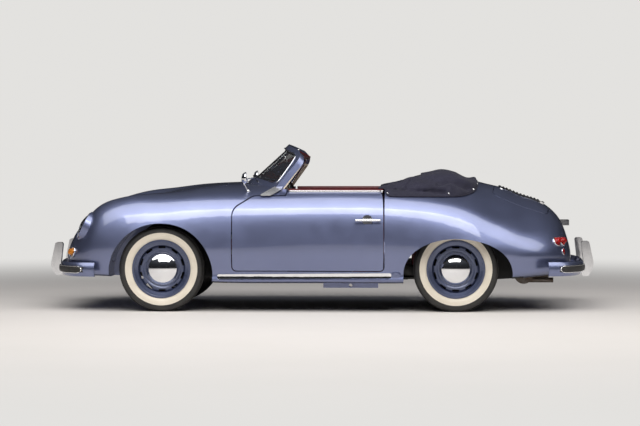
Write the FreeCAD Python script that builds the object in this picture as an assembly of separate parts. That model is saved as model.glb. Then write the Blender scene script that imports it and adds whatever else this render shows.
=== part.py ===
"""A 1950s two-seat convertible car with a rear engine, as separate solids, one STEP file for each piece.

Millimetres. +X points forward, +Y to the car's left and +Z up. The origin is on the ground under the middle of
the car. The painted body is one lofted form, worked out from a side profile, a plan profile and a few section
shapes, and every panel is cut from it, so that panels meet as they do on the real car.
"""

import FreeCAD
import Part
import math
import os

from FreeCAD import Vector

# Main dimensions of the car
wheelbase = 2100.0
nose_overhang = 745.0
tail_overhang = 948.0
front_reach = 847.0
rear_reach = 1003.0
body_half_width = 830.0
deck_height = 940.0
front_track = 1306.0
rear_track = 1272.0
panel_wall = 42.0
lid_thickness = 22.0
door_thickness = 95.0

front_axle_x = (wheelbase + rear_reach - front_reach) / 2
rear_axle_x = front_axle_x - wheelbase

# Clearances
panel_gap = 5.5
seat_gap = 0.3
trim_seat_gap = 0.5
shaft_fit = 0.05
overrun = 60.0
end_cap_room = 8.0

# Tyre and wheel
tyre_radius = 304.0
tyre_width = 158.0
rim_seat_radius = 202.0
rim_flange_radius = 209.0
rim_flange_thickness = 6.0
rim_seat_width = 128.0
rim_wall = 6.0
rim_well_radius = 176.0
disc_inset = 12.0
disc_thickness = 7.0
disc_bowl_depth = 22.0
slot_ring_radius = 154.0
slot_length = 50.0
slot_width = 15.0
slot_count = 10
cap_radius = 119.0
cap_bulge = 42.0
cap_wall = 3.0
cap_seat_width = 9.0
drum_radius = 128.0
drum_depth = 58.0
hub_radius = 32.0
stub_radius = 19.0
stub_reach = 44.0

# Wheel wells and arches
well_radius = 350.0
front_well_inner = 415.0
rear_well_inner = 540.0
front_arch_height = 327.0
front_arch_front = 372.0
front_arch_rear = 366.0
rear_arch_height = 220.0
rear_arch_front = 372.0
rear_arch_rear = 402.0

# Doors
door_front_setback = 512.0
door_length = 1075.0
door_bottom_height = 296.0
belt_height = 850.0
door_corner_radius = 28.0
door_inner_half_width = 640.0
door_ear_height = 824.0
door_ear_front_setback = 662.0
door_ear_rear_setback = 895.0
door_top_corner_drop = 185.0
door_rear_bevel = 16.0
door_hinge_inset = 70.0
door_hinge_depth = 14.6
door_hinge_heights = (425.0, 535.0)
door_hinge_height = 32.0
door_hinge_arm_thickness = 6.0
door_hinge_pin_radius = 5.0
door_hinge_crank = 70.0
door_hinge_pocket_depth = 78.0
door_hinge_pocket_radius = 116.0
door_hinge_pocket_room = 5.0
door_hinge_pocket_angle = 12.0
door_swing_angle = 60.0
door_gap = 7.0
door_sill_room = 21.0
door_card_thickness = 8.0
door_front_x = front_axle_x - door_front_setback
door_rear_x = door_front_x - door_length

# Cabin
floor_height = 240.0
floor_thickness = 14.0
cabin_front_setback = 230.0
cabin_rear_setback = 1820.0
footwell_half_width = 395.0
footwell_height = 640.0
screen_base_setback = 571.0
dash_gap_behind_screen = 56.0
opening_half_width = 640.0
ear_half_width = 592.0
opening_corner_radius = 70.0
tunnel_half_width = 75.0
tunnel_rise = 110.0
sill_inner_half_width = 600.0
cabin_front_x = front_axle_x - cabin_front_setback
cabin_rear_x = front_axle_x - cabin_rear_setback

# Front luggage bay and its lid
bay_half_width = 395.0
bay_floor_height = 450.0
bay_front_advance = 700.0
bay_rear_setback = 180.0
front_lid_rear_setback = 440.0
front_lid_front_advance = 600.0
front_lid_rear_half_width = 430.0
front_lid_front_half_width = 320.0
front_lid_rear_corner = 60.0
front_lid_front_corner = 150.0
lid_flange = 20.0
lid_prism_depth = 150.0
lid_seat_gap = 0.6
handle_seat_gap = 0.9
handle_groove = 3.0
lid_gutter_radius = 48.0

# Engine bay and its lid
engine_bay_half_width = 480.0
engine_bay_front_setback = 1863.0
engine_bay_step_setback = 2278.0
engine_bay_step_height = 560.0
engine_lid_front_setback = 2394.0
engine_lid_rear_setback = 2787.0
engine_lid_front_half_width = 380.0
engine_lid_rear_half_width = 350.0
engine_lid_corner = 70.0

# Front beam axle
beam_tube_radius = 24.0
beam_advance = 92.0
beam_lower_height = 246.0
beam_upper_height = 372.0
beam_half_length = 500.0
beam_channel_half_width = 62.0
beam_channel_height = 420.0
king_pin_half_track = 545.0
king_pin_radius = 15.0
knuckle_half_height = 62.0
arm_thickness = 18.0
arm_boss_radius = 20.0

# Drivetrain
engine_front_setback = 2270.0
engine_rear_setback = 2518.0
engine_half_width = 330.0
engine_bottom_height = 225.0
engine_deck_height = 420.0
engine_top_height = 640.0
shroud_half_width = 220.0
gearbox_radius = 115.0
axle_tube_radius = 34.0
axle_hole_radius = 62.0
backing_plate_radius = 120.0
backing_plate_thickness = 8.0


# Tyre section, as (share of the half width, share of the height above the rim seat)
tyre_profile_shares = [(0.74, 1.0), (1.0, 0.60), (0.80, 0.08), (0.80, 0.0)]

# Jack rails under the sills
jack_setback = 1350.0
jack_x = front_axle_x - jack_setback
jack_rail_length = 393.0
jack_rail_width = 26.0
jack_rail_bottom = 167.0
jack_rail_top = 230.0
jack_socket_inner = 570.0
jack_socket_outer = 648.0
jack_socket_height = 186.0
jack_socket_radius = 19.0
jack_bore_radius = 12.5

# Floor ribs
floor_rib_count = 5
floor_rib_width = 40.0
floor_rib_height = 8.0

# Trim
trim_stand_out = 9.0
sill_trim_front_setback = 405.0
sill_trim_rear_setback = 1642.0
sill_trim_front_height = 252.0
sill_trim_rear_height = 263.0
sill_trim_width = 35.0
front_lid_handle_advance = 570.0
front_lid_handle_length = 110.0
front_lid_handle_width = 26.0
front_lid_handle_rise = 14.0
door_handle_setback = 1473.0
door_handle_x = front_axle_x - door_handle_setback
door_handle_height = 657.0
door_handle_length = 169.0
door_handle_front_share = 0.48
door_handle_radius = 8.0
door_handle_stand_off = 30.0
door_handle_plate_radius = 37.0
door_handle_plate_thickness = 5.0
door_card_margin = 16.0
grille_start = 45.0
grille_length = 330.0
grille_half_width = 105.0
grille_frame_width = 12.0
grille_corner = 24.0
grille_bar_count = 11
grille_bar_width = 7.0

# Windscreen
screen_run = 289.0
screen_rise = 263.0
screen_length = 412.0
screen_bend_radius = 1033.0
screen_top_half_width = 520.0
screen_base_half_width = 615.0
screen_top_bow = 52.0
screen_base_bow = 110.0
screen_root = 60.0
screen_sill_height = 22.0
screen_frame_width = 46.0
screen_frame_depth = 38.0
screen_corner_radius = 88.0
glass_thickness = 6.0

# Bumpers
bumper_half_width = 785.0
blade_height = 100.0
blade_thickness = 14.0
blade_crown = 20.0
blade_stations = 14
strip_height = 39.0
strip_stand_out = 9.0
strip_seat_gap = 0.9
bumper_strip_start_share = 0.045
bumper_path_shares = [(0.975, 0.24), (0.93, 0.46), (0.83, 0.68), (0.65, 0.855), (0.40, 0.955), (0.20, 0.99)]
front_blade_advance = 797.0
front_blade_end_advance = 477.0
front_blade_height = 300.0
rear_blade_setback = 3050.0
rear_blade_end_setback = 2757.0
rear_blade_height = 309.0
guard_half_spread = 360.0
guard_width = 54.0
guard_depth = 56.0
guard_sweep = 38.0
guard_bottom = 243.0
guard_corner = 16.0
guard_top_lean = 37.0
front_guard_top = 481.0
front_guard_tip_height = 310.0
rear_guard_top = 496.0
rear_guard_tip_height = 329.0
iron_width = 50.0
iron_height = 40.0
iron_start = 31.0
iron_length = 260.0

# Small lamps
headlamp_lip = 8.0
headlamp_glass_bulge = 24.0
lamp_taper_share = 0.45
lamp_ring_count = 4
turn_lamp_half_spread = 585.0
turn_lamp_height = 418.0
turn_lamp_radius = 30.0
turn_lamp_depth = 34.0
tail_lamp_inner_spread = 490.0
tail_lamp_outer_spread = 560.0
tail_lamp_height = 497.0
tail_lamp_radius = 29.0
plate_lamp_height = 619.0
plate_lamp_width = 130.0
plate_lamp_reach = 55.0
plate_lamp_thickness = 40.0

# Seats
seat_half_spread = 320.0
seat_width = 480.0
seat_length = 500.0
seat_back_setback = 1358.0
seat_back_x = front_axle_x - seat_back_setback
seat_back_top = 870.0
seat_back_thickness = 110.0
seat_lean = math.radians(18)
seat_rail_top = 272.0
seat_rail_width = 30.0
seat_cushion_top = 420.0
seat_corner = 40.0
rear_seat_front_setback = 1590.0
rear_seat_front_x = front_axle_x - rear_seat_front_setback
rear_seat_height = 400.0
rear_seat_back_top = 700.0
rear_seat_half_width = 520.0

# Dashboard and steering wheel
dash_depth = 120.0
dash_overhang = 70.0
dash_low = 640.0
dash_face = 150.0
dash_corner = 25.0
dash_half_width = 585.0
wheel_tilt = math.radians(28)
wheel_axis = Vector(-math.cos(wheel_tilt), 0, math.sin(wheel_tilt))
wheel_rim_setback = 970.0
wheel_rim_spread = 340.0
wheel_rim_height = 770.0
wheel_rim_centre = Vector(front_axle_x - wheel_rim_setback, wheel_rim_spread, wheel_rim_height)
wheel_rim_radius = 205.0
wheel_rim_thickness = 24.0
wheel_dish = 45.0
wheel_hub_length = 60.0
wheel_hub_radius = 30.0
wheel_spoke_radius = 6.0
wheel_spoke_count = 3
column_radius = 22.0
column_length = 840.0

# Cover over the folded top. Sections are (share of its length, share of its half width, share of its rise).
cover_front_setback = 1536.0
cover_rear_setback = 2300.0
cover_half_width = 665.0
cover_base_height = 826.0
cover_rise = 178.0
cover_skirt = 120.0
cover_inner_half_width = 470.0
cover_inner_rear_setback = 1850.0
cover_inner_corner = 160.0
cover_front_x = front_axle_x - cover_front_setback
cover_rear_x = front_axle_x - cover_rear_setback
cover_inner_rear_x = front_axle_x - cover_inner_rear_setback
cover_knot_shares = [0.0, 0.22, 0.40, 0.52, 0.70, 1.0]
cover_section_shares = [
    (0.0, 0.955, 0.27), (0.05, 0.98, 0.38), (0.16, 0.995, 0.585), (0.32, 1.0, 0.78), (0.48, 1.0, 0.89),
    (0.62, 0.985, 1.0), (0.70, 0.96, 0.95), (0.78, 0.915, 0.83), (0.88, 0.79, 0.70), (0.95, 0.58, 0.64),
    (1.0, 0.28, 0.615)]

# Exhaust
muffler_setback = 2598.0
muffler_height = 250.0
muffler_radius = 68.0
muffler_half_length = 330.0
tailpipe_half_spread = 300.0
tailpipe_tip_setback = 2813.0
tailpipe_radius = 18.0

# Outside mirrors
mirror_setback = 615.0
mirror_half_spread = 620.0
mirror_base_radius = 13.0
mirror_stalk_radius = 4.5
mirror_head_setback = 598.0
mirror_head_outset = 22.0
mirror_head_height = 953.0
mirror_head_radius = 42.0
mirror_head_lip = 4.0
mirror_head_depth = 30.0
mirror_elbow_advance = 22.0

# Feet of the windscreen pillars, as (behind the front axle, height)
pillar_foot_corner = 6.0
pillar_foot_outline = [
    (694.0, 828.0), (780.0, 828.0), (850.0, 868.0), (868.0, 905.0), (842.0, 914.0), (790.0, 885.0)]

# Wipers
wiper_pivot_advance = 26.0
wiper_pivot_spread = 190.0
wiper_pivot_rise = 24.0
wiper_pivot_radius = 9.0
wiper_arm_radius = 3.5
wiper_stand_off = 9.0
wiper_inner_spread = 100.0
wiper_inner_rise = 62.0
wiper_middle_spread = 240.0
wiper_middle_rise = 52.0
wiper_outer_spread = 390.0
wiper_outer_rise = 34.0

# Rod behind the windscreen, with the inside mirror
mirror_rod_radius = 4.0
mirror_rod_inset = 31.0
inside_mirror_arm = 34.0
mirror_rod_reach = 30.0
inside_mirror_share = 0.78
inside_mirror_length = 170.0
inside_mirror_height = 46.0
inside_mirror_thickness = 12.0

# Pedals and gear lever
pedal_count = 3
pedal_spread = 250.0
pedal_pitch = 85.0
pedal_height = 150.0
pedal_lean = math.radians(20)
pedal_arm_radius = 7.0
pedal_pad_width = 55.0
pedal_pad_thickness = 10.0
pedal_gap_from_wall = 90.0
gear_lever_setback = 950.0
gear_lever_lean = 60.0
gear_lever_height = 250.0
gear_lever_radius = 6.0
gear_knob_radius = 20.0
gear_boot_radius = 34.0
gear_boot_height = 40.0
gear_lever_x = front_axle_x - gear_lever_setback


def along(share):
    """x of a place on the body: 2 is the nose end, 1 the front axle, 0 the rear axle and -1 the tail end."""
    if share > 1:
        return front_axle_x + (share - 1) * nose_overhang
    if share < 0:
        return rear_axle_x + share * tail_overhang
    return rear_axle_x + share * wheelbase


# Side profile of the body's centre line, as (place along the body, share of the deck height)
top_line_shares = [
    (2.0, 0.4255),
    (1.9968, 0.445),
    (1.985, 0.480),
    (1.952, 0.527),
    (1.886, 0.606),
    (1.79, 0.683),
    (1.65, 0.758),
    (1.44, 0.829),
    (1.20, 0.885),
    (1.0, 0.914),
    (0.889, 0.954),
    (0.754, 0.974),
    (0.56, 0.990),
    (0.30, 1.0),
    (0.10, 1.0),
    (0.0, 1.0),
    (-0.15, 0.988),
    (-0.262, 0.960),
    (-0.336, 0.945),
    (-0.454, 0.897),
    (-0.696, 0.805),
    (-0.760, 0.755),
    (-0.813, 0.692),
    (-0.845, 0.624),
    (-0.870, 0.551),
    (-0.892, 0.447),
    (-0.8955, 0.420),
]
bottom_line_shares = [
    (2.0, 0.404),
    (1.9968, 0.375),
    (1.987, 0.335),
    (1.97, 0.296),
    (1.90, 0.276),
    (1.70, 0.266),
    (1.30, 0.258),
    (0.90, 0.228),
    (0.754, 0.218),
    (0.50, 0.218),
    (0.10, 0.222),
    (-0.30, 0.244),
    (-0.60, 0.262),
    (-0.80, 0.275),
    (-0.87, 0.292),
    (-0.885, 0.333),
    (-0.892, 0.366),
    (-0.8955, 0.400),
]
# Plan profile, as (place along the body, share of the half width)
plan_line_shares = [
    (2.0, 0.055),
    (1.9968, 0.163),
    (1.985, 0.35),
    (1.952, 0.52),
    (1.886, 0.69),
    (1.79, 0.812),
    (1.65, 0.903),
    (1.44, 0.953),
    (1.20, 0.969),
    (1.0, 0.971),
    (0.75, 0.970),
    (0.50, 0.984),
    (0.20, 0.998),
    (0.0, 1.0),
    (-0.25, 0.985),
    (-0.50, 0.928),
    (-0.63, 0.865),
    (-0.73, 0.780),
    (-0.80, 0.680),
    (-0.845, 0.560),
    (-0.872, 0.440),
    (-0.888, 0.310),
    (-0.892, 0.200),
    (-0.8955, 0.055),
]
# Section shapes: half sections from the top centre round to the bottom, as (share of the local half width,
# share of the local height). The points are the hood's middle, fender crown, shoulder, upper side, waist,
# lower side, sill and underside.
section_shape_shares = [
    (2.0, [(0.38, 0.97), (0.66, 0.87), (0.83, 0.75), (0.95, 0.60),
           (1.0, 0.44), (0.95, 0.25), (0.82, 0.09), (0.5, 0.0)]),
    (1.90, [(0.37, 0.98), (0.69, 0.90), (0.85, 0.77), (0.95, 0.61),
            (1.0, 0.44), (0.97, 0.24), (0.87, 0.07), (0.6, 0.0)]),
    (1.79, [(0.38, 0.985), (0.74, 0.935), (0.86, 0.81), (0.945, 0.635),
            (1.0, 0.44), (0.985, 0.23), (0.92, 0.06), (0.72, 0.0)]),
    (1.67, [(0.42, 0.982), (0.74, 1.038), (0.86, 0.945), (0.945, 0.755),
            (1.0, 0.475), (0.985, 0.24), (0.94, 0.06), (0.80, 0.0)]),
    (1.56, [(0.435, 0.972), (0.735, 1.062), (0.855, 0.982), (0.948, 0.785),
            (1.0, 0.468), (0.985, 0.235), (0.942, 0.058), (0.815, 0.0)]),
    (1.45, [(0.446, 0.964), (0.728, 1.050), (0.852, 0.982), (0.95, 0.783),
            (1.0, 0.462), (0.986, 0.232), (0.945, 0.057), (0.83, 0.0)]),
    (1.25, [(0.455, 0.966), (0.724, 1.014), (0.849, 0.950), (0.95, 0.760),
            (1.0, 0.455), (0.988, 0.232), (0.948, 0.056), (0.845, 0.0)]),
    (1.0, [(0.46, 0.970), (0.722, 0.966), (0.848, 0.908), (0.95, 0.735),
           (1.0, 0.45), (0.99, 0.233), (0.95, 0.056), (0.86, 0.0)]),
    (0.754, [(0.46, 0.980), (0.722, 0.932), (0.852, 0.872), (0.953, 0.725),
             (1.0, 0.458), (0.99, 0.230), (0.95, 0.06), (0.88, 0.0)]),
    (0.50, [(0.46, 0.976), (0.712, 0.930), (0.845, 0.875), (0.958, 0.725),
            (1.0, 0.462), (0.985, 0.228), (0.945, 0.06), (0.87, 0.0)]),
    (0.0, [(0.42, 0.955), (0.655, 0.880), (0.81, 0.795), (0.935, 0.66),
           (1.0, 0.40), (0.985, 0.200), (0.95, 0.056), (0.86, 0.0)]),
    (-0.45, [(0.40, 0.905), (0.64, 0.765), (0.79, 0.655), (0.92, 0.52),
             (1.0, 0.32), (0.985, 0.165), (0.94, 0.045), (0.80, 0.0)]),
    (-0.72, [(0.39, 0.915), (0.64, 0.775), (0.80, 0.645), (0.93, 0.49),
             (1.0, 0.31), (0.98, 0.160), (0.92, 0.045), (0.74, 0.0)]),
    (-0.8955, [(0.38, 0.96), (0.66, 0.85), (0.83, 0.72), (0.95, 0.56),
               (1.0, 0.40), (0.95, 0.22), (0.83, 0.08), (0.5, 0.0)]),
]
# Where the points lie along a half section, as shares of its length
section_knot_shares = [0.0, 0.22, 0.36, 0.45, 0.56, 0.68, 0.79, 0.88, 0.93, 1.0]
# Places along the body where a section is drawn
section_place_shares = [
    2.0, 1.9968, 1.985, 1.965, 1.935, 1.89, 1.83, 1.75, 1.66, 1.56, 1.45, 1.33, 1.18, 1.0, 0.90, 0.80, 0.68,
    0.56, 0.42, 0.28, 0.14, 0.0, -0.12, -0.25, -0.38, -0.50, -0.60, -0.69, -0.765, -0.82, -0.857, -0.880,
    -0.892, -0.8955,
]


# Plain building helpers
def curve_through(points):
    curve = Part.BSplineCurve()
    curve.interpolate(points)
    return curve


def point_at_x(curve, x):
    """The point of a lengthwise curve at x. Every such curve runs from the nose to the tail."""
    low, high = curve.FirstParameter, curve.LastParameter
    if x >= curve.value(low).x:
        return curve.value(low)
    if x <= curve.value(high).x:
        return curve.value(high)
    for _ in range(60):
        middle = (low + high) / 2
        if curve.value(middle).x > x:
            low = middle
        else:
            high = middle
    return curve.value((low + high) / 2)


def block(x0, x1, y0, y1, z0, z1):
    low = Vector(min(x0, x1), min(y0, y1), min(z0, z1))
    return Part.makeBox(abs(x1 - x0), abs(y1 - y0), abs(z1 - z0), low)


def rod(start, end, radius):
    axis = end - start
    return Part.makeCylinder(radius, axis.Length, start, axis)


def fused(shapes):
    return shapes[0].multiFuse(shapes[1:]).removeSplitter() if len(shapes) > 1 else shapes[0]


def mirrored(shape):
    """The same shape on the other side of the car."""
    return shape.mirror(Vector(0, 0, 0), Vector(0, 1, 0))


def both_sides(shape):
    return [shape, mirrored(shape)]


def rounded_wire(corners, place):
    """A closed wire through corners (a, b, radius), each corner rounded by its radius, in the plane of place."""
    edges, ends = [], []
    count = len(corners)
    flat = [Vector(c[0], c[1], 0) for c in corners]
    for i, corner in enumerate(corners):
        here, before, after = flat[i], flat[i - 1], flat[(i + 1) % count]
        radius = corner[2] if len(corner) > 2 else 0
        to_before, to_after = (before - here).normalize(), (after - here).normalize()
        if radius <= 0:
            ends.append((here, here, None))
            continue
        half_turn = to_before.getAngle(to_after) / 2
        reach = radius / math.tan(half_turn)
        centre = here + (to_before + to_after).normalize() * (radius / math.sin(half_turn))
        middle = centre + (here - centre).normalize() * radius
        ends.append((here + to_before * reach, here + to_after * reach, middle))
    for i, (start, end, middle) in enumerate(ends):
        if middle is not None:
            edges.append(Part.Arc(place(start), place(middle), place(end)).toShape())
        following = ends[(i + 1) % count][0]
        if (following - end).Length > 1e-6:
            edges.append(Part.LineSegment(place(end), place(following)).toShape())
    return Part.Wire(edges)


def side_prism(corners, y0, y1):
    wire = rounded_wire(corners, lambda p: Vector(p.x, y0, p.y))
    return Part.Face(wire).extrude(Vector(0, y1 - y0, 0))


def plan_prism(corners, z0, z1):
    wire = rounded_wire(corners, lambda p: Vector(p.x, p.y, z0))
    return Part.Face(wire).extrude(Vector(0, 0, z1 - z0))


def revolved(profile, centre, axis, outward):
    """A solid turned about the axis through centre, from a profile of (distance along the axis, radius)."""
    axis = Vector(axis).normalize()
    points = [centre + axis * a + outward * r for a, r in profile]
    face = Part.Face(Part.makePolygon(points + [points[0]]))
    return face.revolve(centre, axis, 360)


# The body form
top_curve = curve_through([Vector(along(s), 0, z * deck_height) for s, z in top_line_shares])
bottom_curve = curve_through([Vector(along(s), 0, z * deck_height) for s, z in bottom_line_shares])
plan_curve = curve_through([Vector(along(s), y * body_half_width, 0) for s, y in plan_line_shares])
shape_scale = wheelbase
shape_curves = [
    curve_through([Vector(along(s), shape[k][0] * shape_scale, shape[k][1] * shape_scale)
                   for s, shape in section_shape_shares])
    for k in range(len(section_shape_shares[0][1]))
]
nose_x = along(section_place_shares[0])
tail_x = along(section_place_shares[-1])


def section_points(x, inset=0.0):
    """The half section at x, from the top centre to the bottom centre, taken in by inset."""
    top = point_at_x(top_curve, x).z - inset
    bottom = point_at_x(bottom_curve, x).z + inset
    half = point_at_x(plan_curve, x).y - inset
    points = [(0.0, top)]
    for curve in shape_curves:
        p = point_at_x(curve, x)
        points.append((half * p.y / shape_scale, bottom + (top - bottom) * p.z / shape_scale))
    points.append((0.0, bottom))
    return points


def closed_section(half, knot_shares):
    """A closed curve through a half section and its mirror image. Every section of a loft shares its knots."""
    ring = half + [Vector(p.x, -p.y, p.z) for p in half[-2:0:-1]]
    knots = [k / 2 for k in knot_shares] + [1 - k / 2 for k in knot_shares[-2::-1]]
    curve = Part.BSplineCurve()
    curve.interpolate(Points=ring, PeriodicFlag=True, Parameters=knots)
    return Part.Wire(curve.toShape())


def section_wire(x, place_x, inset=0.0):
    return closed_section([Vector(place_x, y, z) for y, z in section_points(x, inset)], section_knot_shares)


def body_form(inset=0.0):
    """The closed form of the painted body, taken in by inset all round. It ends where there is no room left in it."""
    middle = (nose_x + tail_x) / 2
    length = nose_x - tail_x
    wires = []
    for s in section_place_shares:
        x = along(s)
        height = point_at_x(top_curve, x).z - point_at_x(bottom_curve, x).z
        if min(point_at_x(plan_curve, x).y, height / 2) < inset + end_cap_room:
            continue
        wires.append(section_wire(x, middle + (x - middle) * (length - 2 * inset) / length, inset))
    return Part.makeLoft(wires, True, False)


outer_form = body_form()
wall_form = body_form(panel_wall)
lid_form = body_form(lid_thickness)
lid_seat_form = body_form(lid_thickness + lid_seat_gap)
door_inner_form = body_form(door_thickness)
card_inner_form = body_form(door_thickness + door_card_thickness)
trim_form = body_form(-trim_stand_out)
seat_form = body_form(-trim_seat_gap)
dash_form = body_form(door_thickness + seat_gap)
handle_form = body_form(-front_lid_handle_rise)
handle_seat_form = body_form(-handle_seat_gap)


def surface_point(x, y):
    """The body's outer surface above (x, y)."""
    line = Part.makeLine(Vector(x, y, deck_height / 2), Vector(x, y, 2 * deck_height))
    hits = outer_form.common(line)
    return max((v.Point for v in hits.Vertexes), key=lambda p: p.z)


def skin_point(x, z):
    """The body's outer surface on its left side at (x, z)."""
    line = Part.makeLine(Vector(x, 0, z), Vector(x, 2 * body_half_width, z))
    hits = outer_form.common(line)
    return max((v.Point for v in hits.Vertexes), key=lambda p: p.y)


# Lids. Each is cut along the direction square to the chord from its hinge edge to its free edge, because that is
# the way in which its free edge leaves the opening.
def lid_prism(hinge, free, hinge_half_width, free_half_width, hinge_corner, free_corner, grow):
    chord = free - hinge
    length = chord.Length
    ahead = Vector(chord).normalize()
    normal = Vector(0, 1, 0).cross(ahead)
    if normal.z < 0:
        normal = normal * -1
    corners = [
        (-grow, -hinge_half_width - grow, hinge_corner + grow),
        (length + grow, -free_half_width - grow, free_corner + grow),
        (length + grow, free_half_width + grow, free_corner + grow),
        (-grow, hinge_half_width + grow, hinge_corner + grow),
    ]
    start = hinge - normal * lid_prism_depth
    wire = rounded_wire(corners, lambda p: start + ahead * p.x + Vector(0, p.y, 0))
    return Part.Face(wire).extrude(normal * (lid_prism_depth + deck_height))


front_lid_hinge = surface_point(front_axle_x - front_lid_rear_setback, 0)
front_lid_free = surface_point(front_axle_x + front_lid_front_advance, 0)
engine_lid_hinge = surface_point(front_axle_x - engine_lid_front_setback, 0)
engine_lid_free = surface_point(front_axle_x - engine_lid_rear_setback, 0)


def front_lid_prism(grow):
    return lid_prism(front_lid_hinge, front_lid_free, front_lid_rear_half_width, front_lid_front_half_width,
                     front_lid_rear_corner, front_lid_front_corner, grow)


def engine_lid_prism(grow):
    return lid_prism(engine_lid_hinge, engine_lid_free, engine_lid_front_half_width, engine_lid_rear_half_width,
                     engine_lid_corner, engine_lid_corner, grow)


def grille_prism(grow):
    chord = engine_lid_free - engine_lid_hinge
    ahead = Vector(chord).normalize()
    normal = Vector(0, 1, 0).cross(ahead)
    if normal.z < 0:
        normal = normal * -1
    start, end = grille_start - grow, grille_start + grille_length + grow
    half = grille_half_width + grow
    corner = grille_corner + grow
    corners = [(start, -half, corner), (end, -half, corner), (end, half, corner), (start, half, corner)]
    base = engine_lid_hinge - normal * lid_prism_depth
    wire = rounded_wire(corners, lambda p: base + ahead * p.x + Vector(0, p.y, 0))
    return Part.Face(wire).extrude(normal * (lid_prism_depth + deck_height))


# Door outline, seen from the side, and its hinge line just inside the widest part of the skin
def door_corners(grow):
    front, rear = door_front_x + grow, door_rear_x - grow
    ear_front, ear_rear = front_axle_x - door_ear_front_setback, front_axle_x - door_ear_rear_setback
    top = belt_height + overrun
    return [
        (rear, door_bottom_height - grow, door_corner_radius + grow),
        (front, door_bottom_height - grow, door_corner_radius + grow),
        (front, door_ear_height - door_top_corner_drop / 2 + grow, door_top_corner_drop / 2),
        (ear_front + grow, door_ear_height + grow, door_top_corner_drop / 2),
        (ear_rear + grow, door_ear_height + grow, door_corner_radius / 2),
        (ear_rear + grow, top, 0),
        (rear, top, 0),
    ]


door_hinge_x = door_front_x - door_hinge_inset
door_hinge_y = max(skin_point(door_front_x, z).y for z in door_hinge_heights) - door_hinge_depth


def door_opening(grow):
    return side_prism(door_corners(grow), door_inner_half_width - door_sill_room, body_half_width + overrun)


# Cavities
def well_space(axle_x, inner):
    return Part.makeCylinder(well_radius, body_half_width, Vector(axle_x, inner, tyre_radius), Vector(0, 1, 0))


def arch(axle_x, inner, height, front, rear):
    """The opening in the fender: half an ellipse with its feet carried down past the sill."""
    low = -overrun - tyre_radius
    points = [
        Vector(axle_x + front, inner, tyre_radius - height / 4),
        Vector(axle_x + front * 0.86, inner, tyre_radius + height * 0.47),
        Vector(axle_x + front * 0.5, inner, tyre_radius + height * 0.86),
        Vector(axle_x, inner, tyre_radius + height),
        Vector(axle_x - rear * 0.5, inner, tyre_radius + height * 0.86),
        Vector(axle_x - rear * 0.86, inner, tyre_radius + height * 0.47),
        Vector(axle_x - rear, inner, tyre_radius - height / 4),
    ]
    top = curve_through(points).toShape()
    feet = Part.makePolygon([points[-1], points[-1] + Vector(0, 0, low), points[0] + Vector(0, 0, low), points[0]])
    face = Part.Face(Part.Wire([top] + feet.Edges))
    return face.extrude(Vector(0, body_half_width, 0))


screen_base_x = front_axle_x - screen_base_setback
opening_front_x = screen_base_x - dash_gap_behind_screen
ear_rear_x = front_axle_x - door_ear_rear_setback

cabin_opening = plan_prism([
    (opening_front_x, ear_half_width / 3, ear_half_width),
    (opening_front_x - opening_corner_radius * 3, ear_half_width, opening_corner_radius),
    (ear_rear_x, ear_half_width, 0),
    (ear_rear_x, opening_half_width, 0),
    (cabin_rear_x, opening_half_width, opening_corner_radius),
    (cabin_rear_x, -opening_half_width, opening_corner_radius),
    (ear_rear_x, -opening_half_width, 0),
    (ear_rear_x, -ear_half_width, 0),
    (opening_front_x - opening_corner_radius * 3, -ear_half_width, opening_corner_radius),
    (opening_front_x, -ear_half_width / 3, ear_half_width),
], floor_height, 2 * deck_height)
cabin_cavity = door_inner_form.common(block(cabin_rear_x, door_front_x, -body_half_width, body_half_width,
                                            floor_height, 2 * deck_height))
footwell = block(cabin_rear_x, cabin_front_x, -footwell_half_width, footwell_half_width, floor_height,
                 footwell_height)
luggage_bay = wall_form.common(block(front_axle_x - bay_rear_setback, front_axle_x + bay_front_advance,
                                     -bay_half_width, bay_half_width, bay_floor_height, 2 * deck_height))
engine_bay = wall_form.common(fused([
    block(nose_x - 2 * wheelbase, front_axle_x - engine_bay_step_setback, -engine_bay_half_width,
          engine_bay_half_width, 0, 2 * deck_height),
    block(front_axle_x - engine_bay_step_setback - overrun, front_axle_x - engine_bay_front_setback,
          -engine_bay_half_width, engine_bay_half_width, 0, engine_bay_step_height),
]))
engine_bay_mouth = block(tail_x + panel_wall * 3, front_axle_x - engine_bay_front_setback,
                         -engine_bay_half_width, engine_bay_half_width, 0, tyre_radius)
axle_hole = Part.makeCylinder(axle_hole_radius, 2 * body_half_width,
                              Vector(rear_axle_x, -body_half_width, tyre_radius), Vector(0, 1, 0))
beam_x = front_axle_x + beam_advance
beam_channel = block(beam_x - beam_channel_half_width, beam_x + beam_channel_half_width,
                     -front_well_inner - overrun, front_well_inner + overrun, 0, beam_channel_height)
floor_zone = block(cabin_rear_x, cabin_front_x, -sill_inner_half_width, sill_inner_half_width, 0, floor_height)

sill_zone = block(door_rear_x, door_front_x, -2 * body_half_width, 2 * body_half_width, 0,
                  door_bottom_height + panel_gap)
front_half = block(0, 2 * wheelbase, -2 * body_half_width, 2 * body_half_width, 0, 2 * deck_height)
luggage_zone = block(front_axle_x - bay_rear_setback, nose_x, -bay_half_width, bay_half_width, bay_floor_height,
                     2 * deck_height)
engine_zone = block(tail_x, front_axle_x - engine_bay_step_setback, -engine_bay_half_width, engine_bay_half_width,
                    engine_bay_step_height, 2 * deck_height)
front_well_space = well_space(front_axle_x, front_well_inner)
rear_well_space = well_space(rear_axle_x, rear_well_inner)
front_well = front_well_space.common(wall_form)
rear_well = rear_well_space.common(wall_form)
front_arch = arch(front_axle_x, front_well_inner, front_arch_height, front_arch_front, front_arch_rear)
rear_arch = arch(rear_axle_x, rear_well_inner, rear_arch_height, rear_arch_front, rear_arch_rear)

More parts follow.
